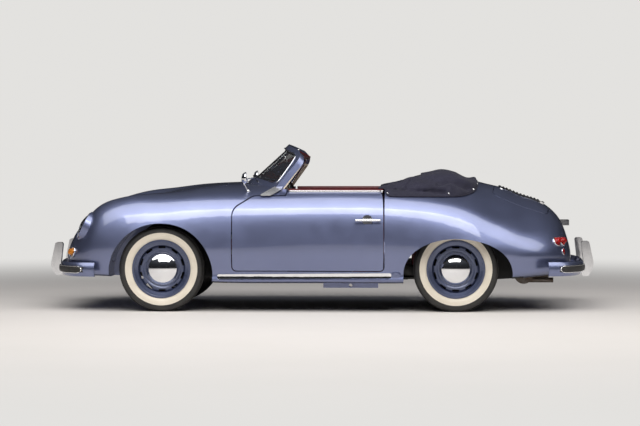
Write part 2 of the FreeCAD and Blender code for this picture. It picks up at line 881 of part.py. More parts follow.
# Lamps let into the body
headlamp_advance = 571.0
headlamp_height = 608.0
headlamp_half_spread = 560.0
headlamp_lean = math.radians(27)
headlamp_ring_radius = 107.0
headlamp_glass_radius = 88.0
headlamp_collar_radius = 112.0
headlamp_depth = 95.0
headlamp_centre = Vector(front_axle_x + headlamp_advance, headlamp_half_spread, headlamp_height)
headlamp_axis = Vector(math.cos(headlamp_lean), 0, math.sin(headlamp_lean))
headlamp_collar = rod(headlamp_centre - headlamp_axis * headlamp_depth, headlamp_centre, headlamp_collar_radius)
headlamp_pocket = rod(headlamp_centre - headlamp_axis * (headlamp_depth - panel_wall / 2),
                      headlamp_centre + headlamp_axis * headlamp_depth, headlamp_ring_radius + seat_gap)


def painted_shell():
    shell = outer_form.multiFuse(both_sides(headlamp_collar))
    cuts = [cabin_opening, cabin_cavity, footwell, luggage_bay, engine_bay, engine_bay_mouth, axle_hole,
            beam_channel, floor_zone]
    for cut in (front_well, rear_well, front_arch, rear_arch, door_opening(door_gap), headlamp_pocket):
        cuts += both_sides(cut)
    cuts.append(front_lid_prism(panel_gap).cut(lid_seat_form))
    side = Vector(0, front_lid_rear_half_width, 0)
    cuts.append(rod(front_lid_hinge - side, front_lid_hinge + side, lid_gutter_radius).common(
        front_lid_prism(panel_gap)))
    cuts.append(front_lid_prism(-lid_flange).common(luggage_zone))
    cuts.append(engine_lid_prism(panel_gap).cut(lid_seat_form))
    cuts.append(engine_lid_prism(-lid_flange).common(engine_zone))
    return shell.cut(cuts)


def make_body():
    shell = painted_shell()
    sills = shell.common(sill_zone)
    rest = shell.cut(sill_zone)
    rails = []
    for side in (1, -1):
        rail = block(jack_x - jack_rail_length / 2, jack_x + jack_rail_length / 2,
                     side * sill_inner_half_width, side * (sill_inner_half_width + jack_rail_width),
                     jack_rail_bottom, jack_rail_top)
        socket = rod(Vector(jack_x, side * jack_socket_inner, jack_socket_height),
                     Vector(jack_x, side * jack_socket_outer, jack_socket_height), jack_socket_radius)
        rails.append(rail.fuse(socket))
    sills = sills.multiFuse(rails)
    for side in (1, -1):
        sills = sills.cut(rod(Vector(jack_x, side * (jack_socket_inner - overrun), jack_socket_height),
                              Vector(jack_x, side * (jack_socket_outer + overrun), jack_socket_height),
                              jack_bore_radius))
    return {"front_body": rest.common(front_half), "rear_body": rest.cut(front_half), "sills": sills}


def make_floor():
    low = floor_height - floor_thickness
    plate = block(cabin_rear_x, cabin_front_x, -sill_inner_half_width, sill_inner_half_width, low, floor_height)
    hump = block(cabin_rear_x, cabin_front_x, -tunnel_half_width, tunnel_half_width, low, floor_height + tunnel_rise)
    tops = [e for e in hump.Edges if e.BoundBox.ZMin > floor_height and e.BoundBox.XLength > tunnel_rise]
    hump = hump.makeFillet(tunnel_half_width / 2, tops)
    inner = block(cabin_rear_x - overrun, cabin_front_x + overrun, -tunnel_half_width + floor_thickness,
                  tunnel_half_width - floor_thickness, 0, floor_height + tunnel_rise - floor_thickness)
    ribs = []
    for k in range(floor_rib_count):
        x = cabin_rear_x + (k + 1) * (cabin_front_x - cabin_rear_x) / (floor_rib_count + 1)
        for side in (1, -1):
            ribs.append(block(x - floor_rib_width / 2, x + floor_rib_width / 2,
                              side * tunnel_half_width, side * (footwell_half_width - floor_rib_width),
                              low - floor_rib_height, floor_height))
    floor = plate.multiFuse([hump] + ribs).cut([inner] + both_sides(front_well_space) + both_sides(rear_well_space))
    return {"floor_pan": floor.removeSplitter()}


def make_lids():
    front = outer_form.common(front_lid_prism(0)).cut(lid_form)
    engine = outer_form.common(engine_lid_prism(0)).cut(lid_form).cut(grille_prism(0))
    frame = trim_form.common(grille_prism(grille_frame_width)).cut(seat_form).cut(grille_prism(0))
    chord = (engine_lid_free - engine_lid_hinge)
    ahead = Vector(chord).normalize()
    bars = []
    for k in range(grille_bar_count):
        share = (k + 1) / (grille_bar_count + 1)
        centre = engine_lid_hinge + ahead * (grille_start + share * grille_length)
        bar = block(centre.x - grille_bar_width / 2, centre.x + grille_bar_width / 2, -grille_half_width,
                    grille_half_width, engine_bay_step_height, 2 * deck_height)
        bars.append(bar)
    bars = trim_form.common(fused(bars)).cut(outer_form)
    tip = front_axle_x + front_lid_handle_advance
    half, corner = front_lid_handle_width / 2, front_lid_handle_width / 3
    handle = handle_form.common(plan_prism([
        (tip, -half, corner), (tip, half, corner), (tip - front_lid_handle_length, half, corner),
        (tip - front_lid_handle_length, -half, corner)], bay_floor_height, 2 * deck_height)).cut(handle_seat_form)
    groove = trim_form.common(block(tip - 2 * front_lid_handle_length, tip + overrun, -handle_groove / 2,
                                    handle_groove / 2, bay_floor_height, 2 * deck_height))
    handle = handle.cut(groove)
    return {"front_lid": front, "engine_lid": engine, "engine_lid_grille": frame.fuse(bars),
            "front_lid_handle": handle}


def make_doors():
    prism = side_prism(door_corners(0), door_inner_half_width, body_half_width + overrun)
    below_belt = block(door_rear_x, door_front_x, 0, 2 * body_half_width, 0, belt_height)
    bevel = plan_prism([(door_rear_x, body_half_width), (door_rear_x + door_rear_bevel, door_inner_half_width),
                        (door_rear_x - overrun, door_inner_half_width), (door_rear_x - overrun, body_half_width)],
                       0, 2 * deck_height)
    door = outer_form.common(prism).common(below_belt).cut([door_inner_form, bevel])
    card = side_prism(door_corners(-door_card_margin), door_inner_half_width, body_half_width)
    card = card.common(block(door_rear_x, door_front_x, 0, 2 * body_half_width, 0, belt_height - door_thickness))
    card = dash_form.common(card).cut(card_inner_form)
    seat = skin_point(door_handle_x, door_handle_height)
    out = Vector(0, 1, 0)
    plate = rod(seat - out * door_handle_stand_off, seat + out * door_handle_plate_thickness,
                door_handle_plate_radius)
    reach = out * door_handle_stand_off
    front_end = Vector(door_handle_x + door_handle_length * door_handle_front_share, seat.y, door_handle_height)
    rear_end = front_end - Vector(door_handle_length, 0, 0)
    bar = rod(front_end + reach, rear_end + reach, door_handle_radius)
    ends = [Part.makeSphere(door_handle_radius, p + reach) for p in (front_end, rear_end)]
    inset = Vector(door_handle_radius * 2, 0, 0)
    posts = [rod(p - reach, p + reach, door_handle_radius * 0.8) for p in (front_end - inset, seat, rear_end + inset)]
    handle = fused([plate, bar] + ends + posts).cut(seat_form)
    door, hinges = hang_door(door)
    doors = {}
    for side, turn in (("left", lambda s: s), ("right", mirrored)):
        doors[side + "_door"] = turn(door)
        doors[side + "_door_card"] = turn(card)
        doors[side + "_door_handle"] = turn(handle)
    doors["door_hinges"] = fused(both_sides(hinges))
    return doors


def hang_door(door):
    """Pockets and pin holes in the door's front edge, and the fixed cranked arms with their pins.

    The arms are cranked inward, because the skin ahead of the pins swings inward as the door opens.
    """
    reach = door_front_x + door_gap - door_hinge_x
    half_arm, room = door_hinge_arm_thickness / 2, door_hinge_pocket_room
    out_of_reach = 2 * door_hinge_pocket_radius
    arms = []
    for z in door_hinge_heights:
        low, high = z - door_hinge_height / 2, z + door_hinge_height / 2
        axis = Vector(door_hinge_x, door_hinge_y, 0)
        floor, ceiling = low - panel_gap, high + panel_gap

        def slab(x0, x1, y0, y1, z0, z1):
            """A block placed from the hinge pin."""
            return block(axis.x + x0, axis.x + x1, axis.y + y0, axis.y + y1, z0, z1)

        def turned(shape):
            """The same shape where the open door has it."""
            copy = shape.copy()
            copy.rotate(axis, Vector(0, 0, 1), door_swing_angle)
            return copy
        lever_room = slab(-half_arm - room, half_arm + room, -door_hinge_pocket_depth, 0, floor, ceiling)
        arm_room = slab(-half_arm - room, reach, -door_hinge_crank - half_arm - room,
                        -door_hinge_crank + half_arm + room, floor, ceiling)
        sweep = Part.makeCylinder(door_hinge_pocket_radius, ceiling - floor, axis + Vector(0, 0, floor),
                                  Vector(0, 0, 1), 90 - door_hinge_pocket_angle)
        sweep.rotate(axis, Vector(0, 0, 1), -90)
        pocket = sweep.multiFuse([lever_room, turned(lever_room), turned(arm_room)])
        pocket = pocket.common(slab(-out_of_reach, out_of_reach, -door_hinge_pocket_depth, door_hinge_pin_radius,
                                    floor, ceiling))
        pin_low, pin_high = low - 2 * panel_gap, high + 2 * panel_gap
        hole = rod(axis + Vector(0, 0, pin_low), axis + Vector(0, 0, pin_high), door_hinge_pin_radius)
        door = door.cut([pocket, hole])
        pin = rod(axis + Vector(0, 0, pin_low + seat_gap), axis + Vector(0, 0, pin_high - seat_gap),
                  door_hinge_pin_radius - shaft_fit)
        lever = slab(-half_arm, half_arm, -door_hinge_crank - half_arm, 0, low, high)
        arm = slab(-half_arm, reach, -door_hinge_crank - half_arm, -door_hinge_crank + half_arm, low, high)
        arms.append(fused([pin, lever, arm]))
    return door, fused(arms)


def make_windscreen():
    """Frame and glass are cut from one curved slab that leans back. Points in it are (across, up along the lean)."""
    lean = math.atan2(screen_rise, screen_run)
    up = Vector(-math.cos(lean), 0, math.sin(lean))
    out = Vector(math.sin(lean), 0, math.cos(lean))
    base = surface_point(screen_base_x, 0)
    middle = base + up * (screen_length / 2)

    def slab(front_depth, back_depth):
        """A part of the bent slab between two depths behind its front face."""
        centre = middle - out * screen_bend_radius - up * screen_length
        solid = Part.makeCylinder(screen_bend_radius - front_depth, 2 * screen_length, centre, up)
        hollow = Part.makeCylinder(screen_bend_radius - back_depth, 2 * screen_length, centre, up)
        return solid.cut(hollow)

    def outline(inset, base_drop):
        """A prism square to the slab: straight sides, bowed top and bottom, and round corners."""
        def place(across, high):
            return middle + Vector(0, across, 0) + up * high + out * screen_bend_radius / 2
        top_half, base_half = screen_top_half_width - inset, screen_base_half_width - inset
        top_mid, top_end = screen_length / 2 - inset, screen_length / 2 + screen_top_bow - inset
        base_mid = -screen_length / 2 + inset - base_drop
        base_end = base_mid + screen_base_bow
        top = Part.Arc(place(-top_half, top_end), place(0, top_mid), place(top_half, top_end)).toShape()
        low = Part.Arc(place(base_half, base_end), place(0, base_mid), place(-base_half, base_end)).toShape()
        right = Part.makeLine(place(top_half, top_end), place(base_half, base_end))
        left = Part.makeLine(place(-base_half, base_end), place(-top_half, top_end))
        prism = Part.Face(Part.Wire([top, right, low, left])).extrude(-out * screen_bend_radius)
        corners = [e for e in prism.Edges if abs(e.Length - screen_bend_radius) < seat_gap and len(e.Vertexes) == 2
                   and abs((e.Vertexes[1].Point - e.Vertexes[0].Point).normalize().dot(out)) > 0.99]
        return prism.makeFillet(screen_corner_radius - inset / 2, corners)

    window = outline(screen_frame_width, -screen_sill_height)
    front = block(0, nose_x, -body_half_width, body_half_width, 0, 2 * deck_height)
    frame = slab(0, screen_frame_depth).common(outline(0, screen_root)).cut([window, seat_form]).common(front)
    glass = slab((screen_frame_depth - glass_thickness) / 2, (screen_frame_depth + glass_thickness) / 2)
    glass = glass.common(outline(screen_frame_width + seat_gap, -screen_sill_height)).cut(seat_form).common(front)
    room = slab(-seat_gap, screen_frame_depth + seat_gap).common(outline(-seat_gap, screen_root))
    return {"windscreen_frame": frame, "windscreen_glass": glass}, room


def bumper_path(end, centre):
    """The blade's front face seen from above, from the left end round to the right end."""
    reach = centre.x - end.x
    half = [(end.y, end.x)]
    half += [(end.y * y, end.x + reach * x) for y, x in bumper_path_shares]
    points = [Vector(x, y, centre.z) for y, x in half] + [centre] + [Vector(x, -y, centre.z) for y, x in half[::-1]]
    return curve_through(points)


def crown_drop_at(rise):
    """How far the blade's rounded face falls back at a height above its middle line."""
    radius = (blade_height ** 2 / 4 + blade_crown ** 2) / (2 * blade_crown)
    return radius - math.sqrt(radius ** 2 - rise ** 2)


def blade_section(path, t, depth, half_height, stand_out):
    """A closed section across the blade's path: a rounded front, a flat or rounded back and short edges."""
    here, ahead = path.value(t), path.tangent(t)[0]
    out = Vector(ahead.y, -ahead.x, 0)
    if out.dot(here - Vector(0, 0, here.z)) < 0:
        out = out * -1

    def place(depth_in, rise):
        return here - out * depth_in + Vector(0, 0, rise)
    drop = crown_drop_at(half_height)
    face, rear = drop - stand_out, drop + depth
    front = Part.Arc(place(face, half_height), place(-stand_out, 0), place(face, -half_height))
    back = Part.Arc(place(rear, -half_height), place(depth, 0), place(rear, half_height))
    lower = Part.LineSegment(place(face, -half_height), place(rear, -half_height))
    upper = Part.LineSegment(place(rear, half_height), place(face, half_height))
    return Part.Wire([front.toShape(), lower.toShape(), back.toShape(), upper.toShape()])


def blade_loft(path, start_share, end_share, depth, half_height, stand_out):
    low, high = path.FirstParameter, path.LastParameter
    wires = []
    for k in range(blade_stations + 1):
        share = start_share + (end_share - start_share) * k / blade_stations
        wires.append(blade_section(path, low + (high - low) * share, depth, half_height, stand_out))
    return Part.makeLoft(wires, True, False)


def make_bumper(end, centre, guard_outline, way):
    """The left half is made first, with its iron. The right half is its mirror image."""
    path = bumper_path(end, centre)
    half = blade_loft(path, 0, 0.5, blade_thickness, blade_height / 2, 0)
    backing = blade_loft(path, 0, 0.5, blade_height, blade_height / 2, seat_gap)
    strip = blade_loft(path, 0, 0.5, -strip_seat_gap, strip_height / 2, strip_stand_out)
    start = path.value(path.FirstParameter + (path.LastParameter - path.FirstParameter) * bumper_strip_start_share)
    strip = strip.common(block(-2 * wheelbase, 2 * wheelbase, -overrun, start.y, 0, deck_height))
    guard = side_prism(guard_outline, guard_half_spread - guard_width / 2, guard_half_spread + guard_width / 2)
    guard = guard.cut([backing, seat_form])
    iron = block(centre.x - way * iron_start, centre.x - way * iron_length,
                 guard_half_spread - iron_width / 2, guard_half_spread + iron_width / 2,
                 centre.z - iron_height / 2, centre.z + iron_height / 2).cut(seat_form)
    half = half.fuse(max(iron.Solids, key=lambda solid: solid.Volume))
    notch = block(-2 * wheelbase, 2 * wheelbase, guard_half_spread - guard_width / 2 - seat_gap,
                  guard_half_spread + guard_width / 2 + seat_gap, 0, deck_height)
    strips = sorted(strip.cut(notch).Solids, key=lambda solid: -solid.CenterOfMass.y)
    middle = strips[-1].fuse(mirrored(strips[-1]))
    return half.fuse(mirrored(half)), both_sides(guard), Part.makeCompound(both_sides(strips[0]) + middle.Solids)


def make_bumpers():
    front_centre = Vector(front_axle_x + front_blade_advance, 0, front_blade_height)
    front_end = Vector(front_axle_x + front_blade_end_advance, bumper_half_width, front_blade_height)
    rear_centre = Vector(front_axle_x - rear_blade_setback, 0, rear_blade_height)
    rear_end = Vector(front_axle_x - rear_blade_end_setback, bumper_half_width, rear_blade_height)
    front_tip, rear_tip = front_axle_x + front_reach, rear_axle_x - rear_reach
    pieces, all_guards, strips = {}, [], []
    for name, end, centre, tip, top, tip_z, way in (
            ("front_bumper", front_end, front_centre, front_tip, front_guard_top, front_guard_tip_height, 1),
            ("rear_bumper", rear_end, rear_centre, rear_tip, rear_guard_top, rear_guard_tip_height, -1)):
        bend = (top - guard_bottom) / 3
        outline = [
            (tip - way * (guard_depth + guard_sweep), guard_bottom, guard_corner),
            (tip - way * guard_sweep, guard_bottom, guard_corner),
            (tip, tip_z, bend),
            (tip - way * guard_top_lean, top, guard_corner),
            (tip - way * (guard_top_lean + guard_depth), top, guard_corner),
            (tip - way * (guard_depth + guard_sweep / 2), tip_z, bend),
        ]
        pieces[name], guards, strip = make_bumper(end, centre, outline, way)
        all_guards += guards
        strips.append(strip)
    pieces["bumper_guards"] = fused(all_guards)
    pieces["bumper_strips"] = fused(strips)
    return pieces


def lamp_on(point, normal, radius, height, rings):
    """A small round lamp stepped like a beehive, standing on the body at point."""
    profile = [(-height, 0), (-height, radius)]
    for k in range(rings):
        a, r = height * k / rings, radius * (1 - lamp_taper_share * k / rings)
        profile += [(a, r), (height * (k + 1) / rings - height / rings / 4, r)]
    profile += [(height, radius * (1 - lamp_taper_share)), (height, 0)]
    outward = Vector(0, 0, 1).cross(normal).normalize()
    return revolved(profile, point, normal, outward).cut(seat_form)


def end_point(y, z, way):
    """The body's outer surface at (y, z), on the nose for way 1 and on the tail for way -1, with its normal."""
    def hit(a, b):
        line = Part.makeLine(Vector(0, a, b), Vector(way * 2 * wheelbase, a, b))
        return max((v.Point for v in outer_form.common(line).Vertexes), key=lambda p: way * p.x)
    step = panel_wall / 4
    here = hit(y, z)
    normal = (hit(y + step, z) - here).cross(hit(y, z + step) - here).normalize()
    return here, normal if normal.x * way > 0 else normal * -1


def make_lamps():
    out = Vector(0, 1, 0)
    ring_depth = headlamp_depth - panel_wall / 2 - seat_gap
    ring_profile = [(-ring_depth, 0), (-ring_depth, headlamp_glass_radius), (-headlamp_lip, headlamp_ring_radius),
                    (0, headlamp_ring_radius), (headlamp_lip, headlamp_ring_radius - headlamp_lip),
                    (headlamp_lip, headlamp_glass_radius), (0, headlamp_glass_radius),
                    (-ring_depth + headlamp_lip, headlamp_lip * 2), (-ring_depth + headlamp_lip, 0)]
    ring = revolved(ring_profile, headlamp_centre, headlamp_axis, out)
    dome_radius = (headlamp_glass_radius ** 2 + headlamp_glass_bulge ** 2) / (2 * headlamp_glass_bulge)
    dome_centre = headlamp_centre + headlamp_axis * (headlamp_lip + headlamp_glass_bulge - dome_radius)
    dome = Part.makeSphere(dome_radius, dome_centre)
    lens = rod(headlamp_centre, headlamp_centre + headlamp_axis * headlamp_depth, headlamp_glass_radius - seat_gap)
    lens = lens.common(dome)
    pieces = {"headlamps": fused(both_sides(ring)), "headlamp_lenses": fused(both_sides(lens))}
    point, normal = end_point(turn_lamp_half_spread, turn_lamp_height, 1)
    turn = lamp_on(point, normal, turn_lamp_radius, turn_lamp_depth, lamp_ring_count)
    pieces["turn_lamps"] = fused(both_sides(turn))
    tails = []
    for spread in (tail_lamp_inner_spread, tail_lamp_outer_spread):
        point, normal = end_point(spread, tail_lamp_height, -1)
        tails += both_sides(lamp_on(point, normal, tail_lamp_radius, turn_lamp_depth, lamp_ring_count))
    pieces["tail_lamps"] = fused(tails)
    point, normal = end_point(0, plate_lamp_height, -1)
    hood = block(point.x + panel_wall, point.x - plate_lamp_reach, -plate_lamp_width / 2, plate_lamp_width / 2,
                 plate_lamp_height - plate_lamp_thickness / 2, plate_lamp_height + plate_lamp_thickness / 2)
    pieces["plate_lamp"] = hood.cut(seat_form)
    return pieces


def make_seats():
    half = seat_width / 2
    pieces, all_rails = {}, []
    for side, y in (("left", seat_half_spread), ("right", -seat_half_spread)):
        cushion = side_prism([
            (seat_back_x, seat_rail_top, seat_corner), (seat_back_x + seat_length, seat_rail_top, seat_corner),
            (seat_back_x + seat_length, seat_cushion_top, seat_corner * 1.5),
            (seat_back_x, seat_cushion_top - seat_corner / 2, 0)], y - half, y + half)
        lean = math.tan(seat_lean) * (seat_back_top - seat_cushion_top)
        back = side_prism([
            (seat_back_x, seat_rail_top, 0), (seat_back_x, seat_cushion_top, seat_corner),
            (seat_back_x - lean, seat_back_top, seat_back_thickness / 3),
            (seat_back_x - lean - seat_back_thickness, seat_back_top, seat_back_thickness / 3),
            (seat_back_x - seat_back_thickness, seat_rail_top, seat_corner)], y - half, y + half)
        rails = [block(seat_back_x, seat_back_x + seat_length * 0.9, y + s - seat_rail_width / 2,
                       y + s + seat_rail_width / 2, floor_height, seat_rail_top) for s in (-half * 0.7, half * 0.7)]
        pieces[side + "_seat"] = fused([cushion, back])
        all_rails += rails
    pieces["seat_rails"] = fused(all_rails)
    bench = side_prism([
        (cabin_rear_x, floor_height, 0), (rear_seat_front_x, floor_height, 0),
        (rear_seat_front_x, rear_seat_height, seat_corner), (cabin_rear_x + seat_back_thickness, rear_seat_height, 0),
        (cabin_rear_x + seat_back_thickness / 2, rear_seat_back_top, seat_corner / 2),
        (cabin_rear_x, rear_seat_back_top, 0)], -rear_seat_half_width, rear_seat_half_width)
    pieces["rear_seat"] = bench.cut(block(cabin_rear_x - overrun, cabin_front_x, -tunnel_half_width - seat_gap,
                                          tunnel_half_width + seat_gap, 0, floor_height + tunnel_rise + seat_gap))
    return pieces


def make_dashboard():
    base_x = opening_front_x
    profile = side_prism([
        (base_x + dash_depth, dash_low, 0), (base_x + dash_depth / 2, dash_low, dash_corner),
        (base_x - dash_overhang, dash_low + dash_face / 3, dash_corner),
        (base_x - dash_overhang, dash_low + dash_face, dash_corner),
        (base_x, deck_height - panel_wall / 2, dash_corner), (base_x + dash_depth, deck_height, 0)],
        -dash_half_width, dash_half_width)
    dash = profile.common(dash_form).common(block(0, door_front_x, -body_half_width, body_half_width, 0, deck_height))
    column_start = wheel_rim_centre - wheel_axis * (wheel_dish + wheel_hub_length)
    column = rod(column_start - wheel_axis * column_length, column_start - wheel_axis * panel_gap, column_radius)
    column = column.common(block(0, cabin_front_x, 0, body_half_width, 0, deck_height))
    clamp_x = base_x - dash_overhang / 2
    clamp_low = wheel_rim_centre.z - (clamp_x - wheel_rim_centre.x) * math.tan(wheel_tilt)
    clamp = block(clamp_x - column_radius, clamp_x + column_radius, wheel_rim_centre.y - column_radius,
                  wheel_rim_centre.y + column_radius, clamp_low, dash_low + dash_face / 3).cut(dash)
    shaft = rod(column_start - wheel_axis * panel_gap, wheel_rim_centre - wheel_axis * (wheel_dish + column_radius),
                stub_radius / 2 - shaft_fit)
    rim = Part.makeTorus(wheel_rim_radius, wheel_rim_thickness / 2, wheel_rim_centre, wheel_axis)
    hub_centre = wheel_rim_centre - wheel_axis * wheel_dish
    hub = rod(hub_centre - wheel_axis * wheel_hub_length, hub_centre, wheel_hub_radius)
    spokes = []
    across = Vector(0, 1, 0)
    down = wheel_axis.cross(across)
    for k in range(wheel_spoke_count):
        angle = math.radians(90) + 2 * math.pi * k / wheel_spoke_count
        tip = wheel_rim_centre + (across * math.cos(angle) + down * math.sin(angle)) * wheel_rim_radius
        spokes.append(rod(hub_centre - wheel_axis * wheel_spoke_radius * 2, tip, wheel_spoke_radius))
    bore = rod(hub_centre - wheel_axis * (wheel_hub_length + overrun), hub_centre - wheel_axis * column_radius / 2,
               stub_radius / 2)
    return {"dashboard": dash, "steering_column": fused([column, shaft, clamp]),
            "steering_wheel": fused([rim, hub] + spokes).cut(bore)}


def make_top_cover():
    """A cover from the doors round the tail of the opening, high over the folded top and steep at its sides."""
    wires = []
    low = cover_base_height - cover_skirt
    for x_share, half_share, rise_share in cover_section_shares:
        x = cover_front_x + (cover_rear_x - cover_front_x) * x_share
        half, rise = half_share * cover_half_width, rise_share * cover_rise
        top = cover_base_height + rise
        points = [Vector(x, 0, top), Vector(x, half * 0.5, top - rise * 0.04),
                  Vector(x, half * 0.86, top - rise * 0.30), Vector(x, half, cover_base_height),
                  Vector(x, half * 0.97, low), Vector(x, 0, low)]
        wires.append(closed_section(points, cover_knot_shares))
    cover = Part.makeLoft(wires, True, False)
    inner = plan_prism([
        (cover_front_x + overrun, cover_inner_half_width, 0), (cover_front_x + overrun, -cover_inner_half_width, 0),
        (cover_inner_rear_x, -cover_inner_half_width, cover_inner_corner),
        (cover_inner_rear_x, cover_inner_half_width, cover_inner_corner)], 0, 2 * deck_height)
    doorway = side_prism(door_corners(door_gap), door_inner_half_width - door_gap, body_half_width + overrun)
    cover = cover.cut([seat_form, inner] + both_sides(doorway))
    return {"top_cover": max(cover.Solids, key=lambda piece: piece.Volume)}


def make_sill_trims():
    strip = side_prism([
        (front_axle_x - sill_trim_front_setback, sill_trim_front_height - sill_trim_width / 2, sill_trim_width / 3),
        (front_axle_x - sill_trim_front_setback, sill_trim_front_height + sill_trim_width / 2, sill_trim_width / 3),
        (front_axle_x - sill_trim_rear_setback, sill_trim_rear_height + sill_trim_width / 2, sill_trim_width / 3),
        (front_axle_x - sill_trim_rear_setback, sill_trim_rear_height - sill_trim_width / 2, sill_trim_width / 3)],
        sill_inner_half_width, body_half_width + overrun)
    strip = trim_form.common(strip).cut(seat_form)
    return {"sill_trims": fused(both_sides(strip))}


def make_drivetrain():
    engine_front, engine_rear = front_axle_x - engine_front_setback, front_axle_x - engine_rear_setback
    crankcase = block(engine_rear, engine_front, -engine_half_width, engine_half_width, engine_bottom_height,
                      engine_deck_height)
    shroud = block(engine_rear, (engine_front + engine_rear) / 2, -shroud_half_width, shroud_half_width,
                   engine_deck_height, engine_top_height)
    gearbox = rod(Vector(front_axle_x - engine_bay_front_setback, 0, tyre_radius),
                  Vector(engine_front, 0, tyre_radius), gearbox_radius)
    pieces = [crankcase, shroud, gearbox]
    for side in (1, -1):
        pieces.append(axle_end(rear_axle_x, side, rear_track / 2, 0, axle_tube_radius))
    return {"drivetrain": fused(pieces)}


def axle_end(x, side, half_track, inner, thick):
    """A stub axle with its backing plate, and the thick part that carries it out from inner."""
    plate_outer = half_track + disc_inset - drum_depth - panel_gap
    def at(y):
        return Vector(x, side * y, tyre_radius)
    carrier = rod(at(inner), at(plate_outer), thick)
    plate = rod(at(plate_outer - backing_plate_thickness), at(plate_outer), backing_plate_radius)
    stub = rod(at(inner), at(half_track + disc_inset - disc_thickness - panel_gap), stub_radius - shaft_fit)
    return fused([carrier, plate, stub])


def make_front_axle():
    pieces = []
    half_beam = Vector(0, beam_half_length, 0)
    for z in (beam_lower_height, beam_upper_height):
        middle = Vector(beam_x, 0, z)
        pieces.append(rod(middle - half_beam, middle + half_beam, beam_tube_radius))
    for side in (1, -1):
        for level, toward in ((tyre_radius - knuckle_half_height, -1), (tyre_radius + knuckle_half_height, 1)):
            z0 = level + toward * seat_gap
            z1 = z0 + toward * arm_thickness
            boss = rod(Vector(front_axle_x, side * king_pin_half_track, z0),
                       Vector(front_axle_x, side * king_pin_half_track, z1), arm_boss_radius)
            near = Vector(beam_x, side * (beam_half_length - arm_boss_radius), 0)
            far = Vector(front_axle_x, side * king_pin_half_track, 0)
            along_arm = (far - near).normalize()
            across = Vector(-along_arm.y, along_arm.x, 0) * (arm_boss_radius * 0.75)
            corners = [near - across, near + across, far + across, far - across]
            face = Part.Face(Part.makePolygon([Vector(p.x, p.y, z0) for p in corners + corners[:1]]))
            arm = face.extrude(Vector(0, 0, z1 - z0))
            pieces += [boss, arm]
        bracket = block(beam_x - beam_tube_radius, beam_x + beam_tube_radius, side * beam_half_length / 2,
                        side * (beam_half_length / 2 + beam_tube_radius), beam_lower_height, beam_channel_height)
        pieces.append(bracket)
    axle = {"front_axle": fused(pieces)}
    for name, side in (("left_knuckle", 1), ("right_knuckle", -1)):
        centre = Vector(front_axle_x, side * king_pin_half_track, tyre_radius)
        half_pin = Vector(0, 0, knuckle_half_height)
        pin = rod(centre - half_pin, centre + half_pin, king_pin_radius)
        axle[name] = pin.fuse(axle_end(front_axle_x, side, front_track / 2, king_pin_half_track, stub_radius * 1.3))
    return axle


def make_exhaust():
    x = front_axle_x - muffler_setback
    muffler = rod(Vector(x, -muffler_half_length, muffler_height), Vector(x, muffler_half_length, muffler_height),
                  muffler_radius)
    pieces = [muffler]
    for side in (1, -1):
        y = side * tailpipe_half_spread
        low = muffler_height - muffler_radius + tailpipe_radius * 1.5
        pieces.append(rod(Vector(x, y, low), Vector(front_axle_x - tailpipe_tip_setback, y, low), tailpipe_radius))
        pieces.append(rod(Vector(x, side * engine_half_width / 2, muffler_height),
                          Vector(front_axle_x - engine_rear_setback, side * engine_half_width / 2, muffler_height),
                          tailpipe_radius))
    return {"exhaust": fused(pieces)}


def make_mirrors():
    """A round mirror with a domed back on a bent stalk and a round foot, one on each side of the cowl."""
    seat = surface_point(front_axle_x - mirror_setback, mirror_half_spread)
    foot = Part.makeSphere(mirror_base_radius, seat)
    centre = Vector(front_axle_x - mirror_head_setback, mirror_half_spread + mirror_head_outset, mirror_head_height)
    elbow = Vector(centre.x + mirror_elbow_advance, centre.y, centre.z - mirror_head_radius / 2)
    stalk = fused([rod(seat, elbow, mirror_stalk_radius), Part.makeSphere(mirror_stalk_radius, elbow),
                   rod(elbow, centre, mirror_stalk_radius)])
    profile = [(0, 0), (0, mirror_head_radius - mirror_head_lip), (-mirror_head_lip, mirror_head_radius),
               (mirror_head_lip, mirror_head_radius), (mirror_head_depth * 0.75, mirror_head_radius * 0.7),
               (mirror_head_depth, 0)]
    head = revolved(profile, centre, Vector(1, 0, 0), Vector(0, 0, 1))
    mirror = fused([foot, stalk, head]).cut(seat_form)
    return {"side_mirrors": fused(both_sides(mirror))}


screen_pieces, screen_room = make_windscreen()


